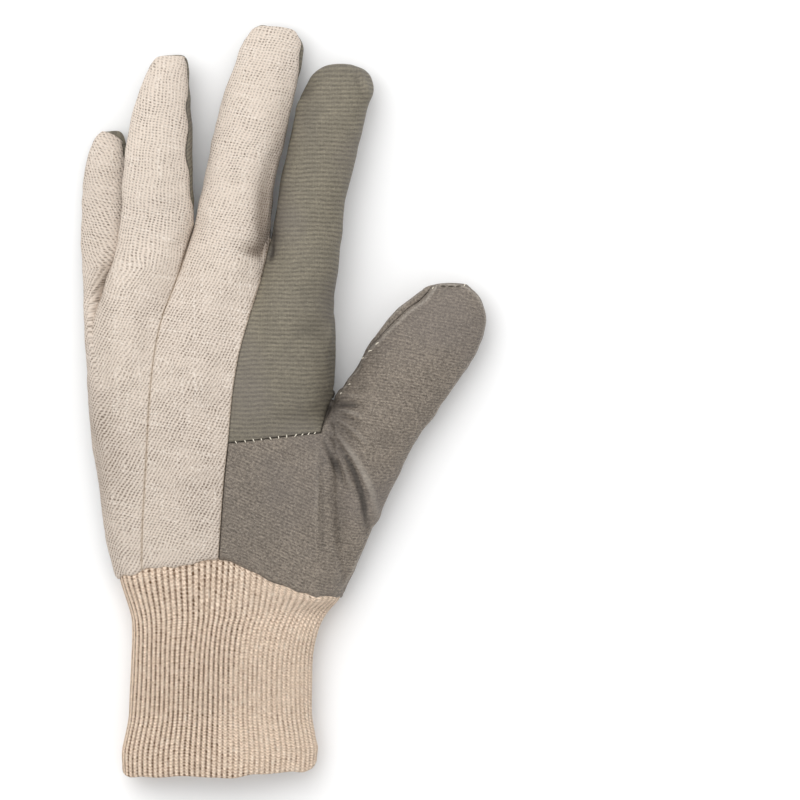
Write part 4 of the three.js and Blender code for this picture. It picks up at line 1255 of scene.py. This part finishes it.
def coated_finish(name, colours, pitch, rib_share, streak_share, mottle_share, fleck_share):
    """Cloth with a thin vinyl coat: fine cross ribs, mottled, with light flecks and a low sheen."""
    rib, groove, fleck = colours
    f = Finish(name)
    place, u, v = f.cloth_place()
    drift = f.noise(place, 0.05, 2.0)
    jitter = f.noise(place, 0.45, 2.0)
    lane = (v + drift * 2.4 + jitter * 0.55) / pitch
    crest = (lane.fract() * math.pi).sine().ramp(0.35, 1.0)
    cells = ((u + jitter * 0.5) / pitch * 1.6).fract()
    crest = crest * 0.8 + abs(cells - 0.5) * 0.4
    streak = f.noise(f.vector(u * 0.4, v * 1.5), 1.0, 3.0, 0.7).ramp(0.36, 0.64)
    mottle = f.noise(place, 1.05, 3.0, 0.8).ramp(0.38, 0.62)
    patch = f.noise(place, 0.16, 3.0, 0.6).ramp(0.36, 0.64)
    specks = f.noise(place, 2.6, 1.0).ramp(0.55, 0.72)
    greyness = f.noise(place, 0.022, 2.0).ramp(0.42, 0.62)
    fold = f.field("fold_mm")
    seam_shade_share = 1.0 - f.field("seam_mm").ramp(0.1, 0.6)
    base = f.painted(groove, [
        (crest * rib_share + streak * streak_share + mottle * mottle_share, rib),
        (patch * 0.22, groove),
        (specks * mottle * fleck_share, fleck),
        (greyness * 0.35, COAT_GREY),
        # painted highlight on the raised folds and lumps, in the fleck colour
        (fold.ramp(0.2, 1.5) * 0.4, fleck),
        # painted shade in the creases and dips of the folds and lumps
        ((0.0 - fold).ramp(0.15, 1.5) * 0.75, COAT_FOLD_SHADE),
        # a lighter line painted over the folded cloth inside a seam
        (f.field("ridge") * (mottle * 0.3 + 0.3), fleck),
        # painted shade at the listed places
        (f.field("painted_shade") * 0.75, COAT_PAINTED_SHADE),
        # painted shade along the seams and the hem
        (seam_shade_share * 0.45, COAT_SEAM_SHADE),
    ])
    height = crest * rib_share + streak * 0.4 + mottle * 0.4
    rough = mottle * 0.15 + 0.5
    return f.surface(base, height, 0.22, roughness=rough, specular=0.35)


@functools.cache
def olive_finish(scene):
    """The coated cloth of the palm and the index finger."""
    own = scene.glove_colours
    colours = (own.coated, own.coated_groove, own.coated_fleck)
    return coated_finish(
        "coated_cloth_olive", colours, mm(scene.glove_cloth.rib_pitch),
        rib_share=0.5, streak_share=0.24, mottle_share=0.24, fleck_share=0.55,
    )


@functools.cache
def brown_finish(scene):
    """The coated cloth of the thumb and of the lower back."""
    own = scene.glove_colours
    colours = (own.brown, own.brown_groove, own.brown_fleck)
    return coated_finish(
        "coated_cloth_brown_grey", colours, mm(scene.glove_cloth.fine_rib_pitch),
        rib_share=0.25, streak_share=0.22, mottle_share=0.53, fleck_share=0.8,
    )


@functools.cache
def knit_finish(scene):
    """Rib knit: each rib is a row of V stitches, with darker gaps between the ribs."""
    colours, stitch = scene.glove_colours, mm(scene.glove_knit.stitch)
    f = Finish("rib_knit_cotton")
    place, rib, length = f.cloth_place()
    rib_place = f.vector(rib * 1.8, length)
    side = abs(rib.fract() - 0.5)
    rib_tone = f.by_number(rib.floor())
    wobble = f.noise(rib_place, 0.7, 2.0)
    course = length / stitch + wobble * 1.1 + rib_tone * 3.0
    legs = ((course + side * 1.3).fract() * math.pi).sine()
    between_ribs = (rib + 0.5).floor()
    hole = length / stitch + wobble * 0.8 + f.by_number(between_ribs + 51.0) * 2.0
    open_share = f.by_number(hole.floor() * 13.7 + between_ribs * 3.1)
    dots = (hole.fract() * math.pi).sine().ramp(0.2, 0.8) * (open_share * 0.75 + 0.25)
    # the gaps between the ribs are darker towards the left side and in patches
    left = 1.0 - rib.ramp(12.0, 32.0)
    gap_darkness = (left * 0.55 + f.noise(rib_place, 0.06, 2.0) * 0.8).ramp(0.1, 0.8)
    gap = side.ramp(0.2, 0.4) * (dots * 0.75 + gap_darkness * 0.4) * (gap_darkness * 0.58 + 0.43)
    grain = f.noise(rib_place, 1.3, 3.0, 0.75).ramp(0.36, 0.64)
    fuzz = f.noise(rib_place, 0.35, 3.0)
    slub = f.noise(f.vector(rib * 1.8, length * 0.35), 1.0, 1.0).ramp(0.64, 0.76)
    base = f.painted(KNIT_BETWEEN_LEGS, [
        (legs.ramp(0.2, 0.9), colours.knit),
        (grain * 0.4, KNIT_GRAIN),
        (fuzz.ramp(0.42, 0.7) * 0.3, KNIT_FUZZ),
        (slub * 0.6, KNIT_SLUB),
        (rib_tone * 0.18, KNIT_DULL_RIB),
        (gap, colours.knit_gap),
    ])
    height = legs * (1.0 - gap) * 0.9 + grain * 0.5
    return f.surface(base, height, 0.25, roughness=0.95, specular=0.15)


def thread_finish(name, thread):
    """Twisted cotton sewing thread."""
    f = Finish(name)
    place = f.add("ShaderNodeTexCoord").outputs["Object"]
    twist = f.noise(place, 2200.0, 2.0)
    base = f.mix(twist * 0.4, thread, [part * 0.7 for part in thread])
    return f.surface(base, twist, 0.08, roughness=0.85, specular=0.25)


def wrist_loop(lines):
    """The rim of the woven part: over the back and under the palm, from the outer side to the thumb."""
    over = np.concatenate([*lines["over"], lines["opening_over"]])
    under = np.concatenate([*lines["under"], lines["opening_under"]])
    return over, under


def by_length(points, shares):
    """Points on a line of points at shares of its length."""
    run = np.concatenate([[0], np.cumsum(np.linalg.norm(np.diff(points, axis=0), axis=1))])
    return np.stack([np.interp(shares * run[-1], run, points[:, k]) for k in range(3)], axis=1)


def cuff_angles(columns):
    """Angles round the wrist, evenly spaced along its section, from the outer side over the back."""
    fine = np.linspace(np.pi, -np.pi, CUFF_FINE_STEPS + 1)
    width, height = CUFF["half_width"][CUFF_MIDDLE_ROW], CUFF["half_height"][CUFF_MIDDLE_ROW]
    x, z = width * np.cos(fine), height * np.sign(np.sin(fine)) * np.abs(np.sin(fine)) ** CUFF_SQUARENESS
    run = np.concatenate([[0], np.cumsum(np.hypot(np.diff(x), np.diff(z)))])
    half = run[len(run) // 2]
    top = np.interp(np.linspace(0, half, columns // 2 + 1)[:-1], run, fine)
    under = np.interp(np.linspace(half, run[-1], columns // 2 + 1)[:-1], run, fine)
    return np.concatenate([top, under])


CUFF_COLUMNS_PER_RIB = 6
CUFF_ROWS = 118
CUFF_TUCK = 2.6  # how far the knit reaches up under the cloth
MOUTH_CORNERS = ((26.0, 32.0, 5.0), (-34.2, -38.0, 2.0))  # rounded corners: from x, to x, how high
MOUTH_SLANT = 1.6  # how much higher the mouth's edge lies towards the thumb
MOUTH_SLANT_X = (2.0, 22.0)
CUFF_SINK = 1.9  # how far the knit lies inside the cloth's outside there
EDGE_SINK, EDGE_DROP = CUFF_SINK * 0.8, 0.6  # the same at the cloth's edge, and how far below it
RIB_WANDER = (2.5, 0.022)  # noise: lumps round the wrist and from row to row
RIB_WANDERS = 0.25  # ribs that a rib wanders sideways
WRIST_LUMPS, WRIST_LUMP_SHIFT, WRIST_LUMP = (3.2, 0.05), 9, 0.35
MOUTH_LUMP = 0.8  # how far the same lumps move the mouth's edge up and down
CREST_POWER, CREST_MIDDLE = 0.5, 0.6  # roundness of a rib's top, and the level that stays in place
RIBS_GROW, RIB_AT_SEAM = (0.4, 2.0), 0.35  # rows over which the ribs grow, and their first share
RIBS_OPEN, RIB_SQUEEZED = (1.0, 3.5), 0.65  # rows over which they open, and their share before
MOUTH_ROWS = 2  # rows over which the mouth's uneven edge dies away
INSIDE_ROWS = 40
INSIDE_END = 0.4  # row number at which the inside ends under the cloth
LIP_STEPS = 7
LIP_SHARE = 0.45  # how far the rolled lip stands out, as a share of the wall


def cuff_wall(lines, columns, inset, where):
    """The wrist's surface: lines from under the cloth to the mouth, all round."""
    over, under = wrist_loop(lines)
    angles = cuff_angles(columns)
    half = columns // 2
    share = np.arange(half) / half
    rim = np.concatenate([by_length(over, share), by_length(under, 1 - share)])
    tall = np.sign(np.sin(angles)) * np.abs(np.sin(angles)) ** CUFF_SQUARENESS
    centre = np.array([CUFF["x"][0], 0, CUFF["half_height"][0]])
    inward = unit((centre - rim) * (1, 0, 1))
    tucked = rim + inward * (CUFF_SINK + inset) + (0, CUFF_TUCK, 0)
    edge = rim + inward * (EDGE_SINK + inset) - (0, EDGE_DROP, 0)
    knots = [tucked, edge]
    for y, x, width, height in zip(*(CUFF[name] for name in ("y", "x", "half_width", "half_height"))):
        row_x = x + (width - inset) * np.cos(angles)
        row_z = height + (height - inset) * tall
        knots.append(np.stack([row_x, np.full(columns, y), row_z], axis=1))
    return through(np.array(knots), where)


def ring_noise(circle, rows, spread, per_row, shift=0):
    """Soft noise from -1 to 1 round the wrist, row by row."""
    return np.array([
        [noise.noise(Vector((x * spread + shift, y * spread, row * per_row))) for x, y in circle]
        for row in range(rows)
    ])


def knitted_wrist(context):
    """The wrist: ribs outside, a rolled lip at the mouth and a plainer inside."""
    sizes = context.scene.glove_knit
    columns = sizes.ribs * CUFF_COLUMNS_PER_RIB // 2 * 2
    wall = mm(sizes.wall)
    last = len(CUFF["y"]) + 1
    where = np.linspace(0, last, CUFF_ROWS + 1)
    outside = cuff_wall(glove_skin(context).lines, columns, 0, where)
    across = np.roll(outside, -1, axis=1) - np.roll(outside, 1, axis=1)
    down = np.gradient(outside, axis=0)
    normals = unit(np.cross(down, across))
    turn = np.arange(columns) / columns
    circle = np.stack([np.cos(2 * np.pi * turn), np.sin(2 * np.pi * turn)], axis=1)
    rib = turn * sizes.ribs + ring_noise(circle, len(where), *RIB_WANDER) * RIB_WANDERS
    crest = (0.5 - 0.5 * np.cos(2 * np.pi * rib)) ** CREST_POWER
    soft = smooth(where, *RIBS_GROW)[:, None]
    share = RIB_AT_SEAM + (1 - RIB_AT_SEAM) * soft
    share = share * (RIB_SQUEEZED + (1 - RIB_SQUEEZED) * smooth(where, *RIBS_OPEN)[:, None])
    lumps = ring_noise(circle, len(where), *WRIST_LUMPS, WRIST_LUMP_SHIFT)
    height = mm(sizes.rib_height) * (crest - CREST_MIDDLE) * share
    outside = outside + normals * (height + lumps * WRIST_LUMP * soft)[..., None]
    mouth_x = outside[-1, :, 0]
    uneven = lumps[-1] * MOUTH_LUMP + MOUTH_SLANT * smooth(mouth_x, *MOUTH_SLANT_X)
    for start, end, rise in MOUTH_CORNERS:
        uneven += rise * rounded_edge(mouth_x - end, start - end)
    outside[..., 1] += uneven * smooth(where, last - MOUTH_ROWS, last)[:, None]
    mouth = outside[-1]
    inside_where = np.linspace(last, INSIDE_END, INSIDE_ROWS)
    inside = cuff_wall(glove_skin(context).lines, columns, wall, inside_where)
    inside[..., 1] += uneven * smooth(inside_where, last - MOUTH_ROWS, last)[:, None]
    middle, reach_in = (mouth + inside[0]) / 2, (mouth - inside[0]) / 2
    roll_out = np.array([0, -wall * LIP_SHARE, 0])
    lip_turns = np.linspace(0, np.pi, LIP_STEPS + 1)[1:-1]
    lip = [middle + reach_in * math.cos(t) + roll_out * math.sin(t) for t in lip_turns]
    rows = np.concatenate([outside, np.array(lip), inside])
    rows[..., 2] = np.maximum(rows[..., 2], LIFT)
    lengths = np.concatenate([[0], np.cumsum(np.linalg.norm(np.diff(rows, axis=0), axis=2).mean(1))])
    ribs = np.concatenate([rib, np.repeat(rib[-1:], len(rows) - len(rib), axis=0)])
    return rows, ribs, lengths


def band(a, b):
    """Triangles between rings of points and the rings after them, as two lists of corners."""
    c, d = np.roll(b, -1, axis=-1), np.roll(a, -1, axis=-1)
    return [np.stack(corners, -1).reshape(-1, 3) for corners in ((a, b, c), (a, c, d))]


def ring_mesh(rows, ribs, lengths):
    """A closed band from rows of points round the wrist, with its flat places.

    In each triangle the flat places of the first and the last corner are swapped, which roughens the knit.
    """
    index = np.arange(rows.shape[0] * rows.shape[1]).reshape(rows.shape[:2])
    triangles = np.concatenate(band(index[:-1], index[1:]) + band(index[-1], index[0]))
    flat = np.stack([ribs, np.broadcast_to(lengths[:, None], ribs.shape)], axis=-1).reshape(-1, 2)
    flats = flat[triangles]
    total = round(ribs[0, -1] + (ribs[0, 1] - ribs[0, 0]))
    wrapped = flats[..., 0].max(1) - flats[..., 0].min(1) > total / 2
    flats[wrapped, :, 0] += (flats[wrapped, :, 0] < total / 2) * total
    return rows.reshape(-1, 3), triangles[:, ::-1], flats


STITCH_RADIUS = 0.19
STITCH_RINGS, STITCH_SIDES = 9, 8
STITCH_BOW = 1.4  # how high a stitch bows over the cloth, in radii
STITCH_SINK = 0.1  # how deep its ends lie in the cloth
STITCH_FULLNESS, STITCH_END = 1.3, 0.05  # how soon it is at its full thickness, and how thin its ends are


def stitch_capsule(start, end, radius, up):
    """A short thread that rises out of the cloth, bows over it and goes back in."""
    t = np.linspace(0, 1, STITCH_RINGS)[:, None]
    path = start + (end - start) * t + up * np.sin(t * np.pi) * radius * STITCH_BOW
    along = unit(np.gradient(path, axis=0))
    side = unit(np.cross(along, up))
    over = np.cross(side, along)
    thick = radius * np.sqrt(np.clip(np.sin(t * np.pi) * STITCH_FULLNESS, STITCH_END, 1))
    angles = np.linspace(0, 2 * np.pi, STITCH_SIDES + 1)[:-1]
    ring = [path + (side * math.cos(a) + over * math.sin(a)) * thick for a in angles]
    index = np.arange(STITCH_RINGS * STITCH_SIDES).reshape(STITCH_RINGS, STITCH_SIDES)
    walls = np.concatenate(band(index[:-1], index[1:]))[:, ::-1]
    last = index[-1, 0]
    fan = range(1, STITCH_SIDES - 1)
    caps = [(i, 0, i + 1) for i in fan] + [(last, last + i, last + i + 1) for i in fan]
    return np.stack(ring, axis=1).reshape(-1, 3), np.concatenate([walls, np.array(caps)])


def gathered_meshes(parts):
    """Several small meshes as one."""
    points, triangles, count = [], [], 0
    for part_points, part_triangles in parts:
        points.append(part_points)
        triangles.append(part_triangles + count)
        count += len(part_points)
    return np.concatenate(points), np.concatenate(triangles)


FACES_UP = 0.1  # least upward part of a normal on the back
NEIGHBOURS = 4  # vertices that the skin's height is read from


def on_skin(context, x, y):
    """The skin's top at a plan point, with its normal."""
    skin = glove_skin(context)
    gap = np.hypot(skin.points[:, 0] - x, skin.points[:, 1] - y)
    gap[skin.normals[:, 2] <= FACES_UP] = np.inf
    nearest = np.argsort(gap)[:NEIGHBOURS]
    return np.array([x, y, skin.points[nearest, 2].max()]), unit(skin.normals[nearest].mean(0))


# Stitches over the seam across the back: x of each, its length, and its slope in degrees
BACK_SEAM_STITCHES = table("x length slope", [
    (3.1, 1.2, 120),
    (6.4, 1.1, 118),
    (9.4, 1.5, 116),
    (12.2, 0.9, 112),
    (15.4, 1.3, 120),
    (18.3, 1.2, 96),
    (21.2, 1.2, 92),
    (24.4, 1.4, 52),
    (26.8, 1, 50),
    (29, 1.2, 60),
    (31.2, 1, 55),
])

# Stitches that show at the thumb's seam, and threads that stand in for the shade between the stitches
# across its tip (painted shade): plan place, length, slope
THUMB_STITCHES = table("x y length slope", [
    (53.5, 83.2, 1.6, 38),
    (50.9, 80.6, 1.5, 20),
    (48.4, 78, 0.9, 50),
    (84.9, 104.3, 1.1, 60),
    (73.6, 103.2, 0.9, 60),
    (43.6, 68.6, 0.9, 35),
    (40.6, 65.4, 0.8, 40),
])
# groove-coloured threads laid as painted shade between the stitches across the thumb's tip
THUMB_TIP_SHADE_DASHES = table("x y length slope", [
    (74.8, 103.9, 1.5, -8),
    (77.2, 103.9, 1.8, -5),
    (79.9, 103.8, 2, 0),
    (82.7, 103.9, 2, 5),
])


def stitched(context, stitches):
    """Short threads lying on the skin."""
    parts = []
    for x, y, length, slope in stitches:
        middle, up = on_skin(context, x, y)
        turn = math.radians(slope)
        half = np.array([math.cos(turn), math.sin(turn), 0]) * length / 2
        ends = [on_skin(context, *(middle + half * sign)[:2])[0] - up * STITCH_SINK for sign in (-1, 1)]
        parts.append(stitch_capsule(*ends, STITCH_RADIUS, up))
    return gathered_meshes(parts)


def back_seam_stitches(context):
    """Plan place, length and slope of the whip stitches over the seam across the back."""
    line = glove_skin(context).lines["back_seam"]
    rows = zip(*BACK_SEAM_STITCHES.values())
    return [(x, np.interp(x, line[:, 0], line[:, 1]), length, slope) for x, length, slope in rows]


class ClothMaker:
    """What the operators that make pieces of cloth share: each names its pieces and their finish."""

    def execute(self, context):
        for name in self.pieces:
            points, triangles, flats, fields = glove_skin(context).piece(name)
            material = self.finish(context.scene)
            stand_in(new_object(name, points, triangles, material, flats, fields))
        return {"FINISHED"}


class GLOVE_OT_cotton_backs(ClothMaker, bpy.types.Operator):
    """Makes the two cotton panels of the back"""

    bl_idname = "glove.cotton_backs"
    bl_label = "Cotton backs"
    pieces = ("cotton_back_outer", "cotton_back_middle")
    finish = staticmethod(cotton_finish)


class GLOVE_OT_index_wrap(ClothMaker, bpy.types.Operator):
    """Makes the coated cloth round the index finger"""

    bl_idname = "glove.index_wrap"
    bl_label = "Index finger wrap"
    pieces = ("index_wrap",)
    finish = staticmethod(olive_finish)


class GLOVE_OT_thumb(ClothMaker, bpy.types.Operator):
    """Makes the back and the front of the thumb"""

    bl_idname = "glove.thumb"
    bl_label = "Thumb"
    pieces = ("thumb_back", "thumb_front")
    finish = staticmethod(brown_finish)


class GLOVE_OT_palm(ClothMaker, bpy.types.Operator):
    """Makes the coated palm with the fronts of three fingers"""

    bl_idname = "glove.palm"
    bl_label = "Palm"
    pieces = ("palm_cloth",)
    finish = staticmethod(olive_finish)


class GLOVE_OT_wrist(bpy.types.Operator):
    """Makes the knitted wrist"""

    bl_idname = "glove.wrist"
    bl_label = "Knitted wrist"

    def execute(self, context):
        points, triangles, flats = ring_mesh(*knitted_wrist(context))
        knit = knit_finish(context.scene)
        stand_in(new_object("rib_wrist", points, triangles, knit, flats, sharp_deg=180))
        return {"FINISHED"}


class GLOVE_OT_stitches(bpy.types.Operator):
    """Makes the sewing stitches that show on the back, and threads that stand in for the shade between the
    stitches at the thumb's tip
    """

    bl_idname = "glove.stitches"
    bl_label = "Stitches"

    def execute(self, context):
        colours = context.scene.glove_colours
        light = thread_finish("sewing_thread", colours.thread)
        dark = thread_finish("shade_dash_thread", colours.coated_groove)
        for name, stitches, material in (
            ("back_seam_stitches", back_seam_stitches(context), light),
            ("thumb_seam_stitches", zip(*THUMB_STITCHES.values()), light),
            # groove-coloured threads standing in for painted shade at the thumb's tip
            ("thumb_tip_shade_dashes", zip(*THUMB_TIP_SHADE_DASHES.values()), dark),
        ):
            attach(new_object(name, *stitched(context, stitches), material), "root")
        return {"FINISHED"}


PHOTO_CENTRE = (0.0418, -0.0001)  # the plan point in the middle of the view
FLOOR_HALF = 6.0
LAMP_SIZE, LAMP_PLACE = 1.5, (-0.4, 0.55, 1.3)
SENSOR_WIDTH = 36.0
FAR_CLIP = 20.0


class GLOVE_OT_stage(bpy.types.Operator):
    """Makes the floor, the lights and the camera"""

    bl_idname = "glove.stage"
    bl_label = "Stage"

    def execute(self, context):
        settings = context.scene.glove_stage
        add_floor(settings)
        add_lights(context, settings)
        add_camera(context, settings)
        return {"FINISHED"}


def add_floor(settings):
    """A plain pale floor."""
    mesh = bpy.data.meshes.new("floor")
    signs = ((-1, -1), (1, -1), (1, 1), (-1, 1))
    corners = [(x * FLOOR_HALF, y * FLOOR_HALF, 0) for x, y in signs]
    mesh.from_pydata(corners, [], [(0, 1, 2, 3)])
    f = Finish("floor_paper")
    place = f.add("ShaderNodeTexCoord").outputs["Object"]
    grain = f.noise(place, 900.0, 2.0)
    base = f.mix(grain * 0.03, settings.floor, FLOOR_GRAIN)
    mesh.materials.append(f.surface(base, grain, 0.01, roughness=0.9, specular=0.1))
    floor = bpy.data.objects.new("floor", mesh)
    bpy.context.scene.collection.objects.link(floor)


def add_lights(context, settings):
    """Soft light from all round and one large light beyond the fingertips."""
    world = bpy.data.worlds.new("studio")
    world.use_nodes = True
    background = world.node_tree.nodes["Background"]
    background.inputs["Color"].default_value = (1.0, 1.0, 1.0, 1.0)
    background.inputs["Strength"].default_value = settings.ambient
    context.scene.world = world
    lamp = bpy.data.lights.new("key", "AREA")
    lamp.shape, lamp.size, lamp.size_y = "RECTANGLE", LAMP_SIZE, LAMP_SIZE
    lamp.energy = settings.key
    key = bpy.data.objects.new("key", lamp)
    key.location = LAMP_PLACE
    key.rotation_euler = (-key.location).to_track_quat("-Z", "Y").to_euler()
    context.scene.collection.objects.link(key)
    context.scene.view_settings.view_transform = "Standard"


def add_camera(context, settings):
    """A camera straight above the photo's middle, with the photo's scale at the surface."""
    data = bpy.data.cameras.new("camera")
    data.sensor_width = SENSOR_WIDTH
    data.lens = data.sensor_width * settings.camera_height / settings.view_width
    data.clip_end = FAR_CLIP
    camera = bpy.data.objects.new("camera", data)
    camera.location = (*PHOTO_CENTRE, settings.camera_height)
    context.scene.collection.objects.link(camera)
    context.scene.camera = camera


OPERATORS = (
    GLOVE_OT_cotton_backs,
    GLOVE_OT_index_wrap,
    GLOVE_OT_thumb,
    GLOVE_OT_palm,
    GLOVE_OT_wrist,
    GLOVE_OT_stitches,
    GLOVE_OT_stage,
)


class GLOVE_PT_glove(bpy.types.Panel):
    """Lists what makes the glove"""

    bl_idname = "GLOVE_PT_glove"
    bl_label = "Work glove"
    bl_space_type = "VIEW_3D"
    bl_region_type = "UI"
    bl_category = "Glove"

    def draw(self, context):
        for operator in OPERATORS:
            self.layout.operator(operator.bl_idname)


GROUPS = {
    "glove_cloth": ClothSizes,
    "glove_knit": KnitSizes,
    "glove_colours": GloveColours,
    "glove_stage": StageSettings,
}


def register():
    for group in GROUPS.values():
        bpy.utils.register_class(group)
    for name, group in GROUPS.items():
        setattr(bpy.types.Scene, name, PointerProperty(type=group))
    for kind in (*OPERATORS, GLOVE_PT_glove):
        bpy.utils.register_class(kind)


def unregister():
    for kind in (GLOVE_PT_glove, *reversed(OPERATORS)):
        bpy.utils.unregister_class(kind)
    for name in GROUPS:
        delattr(bpy.types.Scene, name)
    for group in GROUPS.values():
        bpy.utils.unregister_class(group)


def main():
    """Makes the whole glove and its stage."""
    register()
    for operator in OPERATORS:
        group, name = operator.bl_idname.split(".")
        getattr(getattr(bpy.ops, group), name)()


if __name__ == "__main__":
    main()
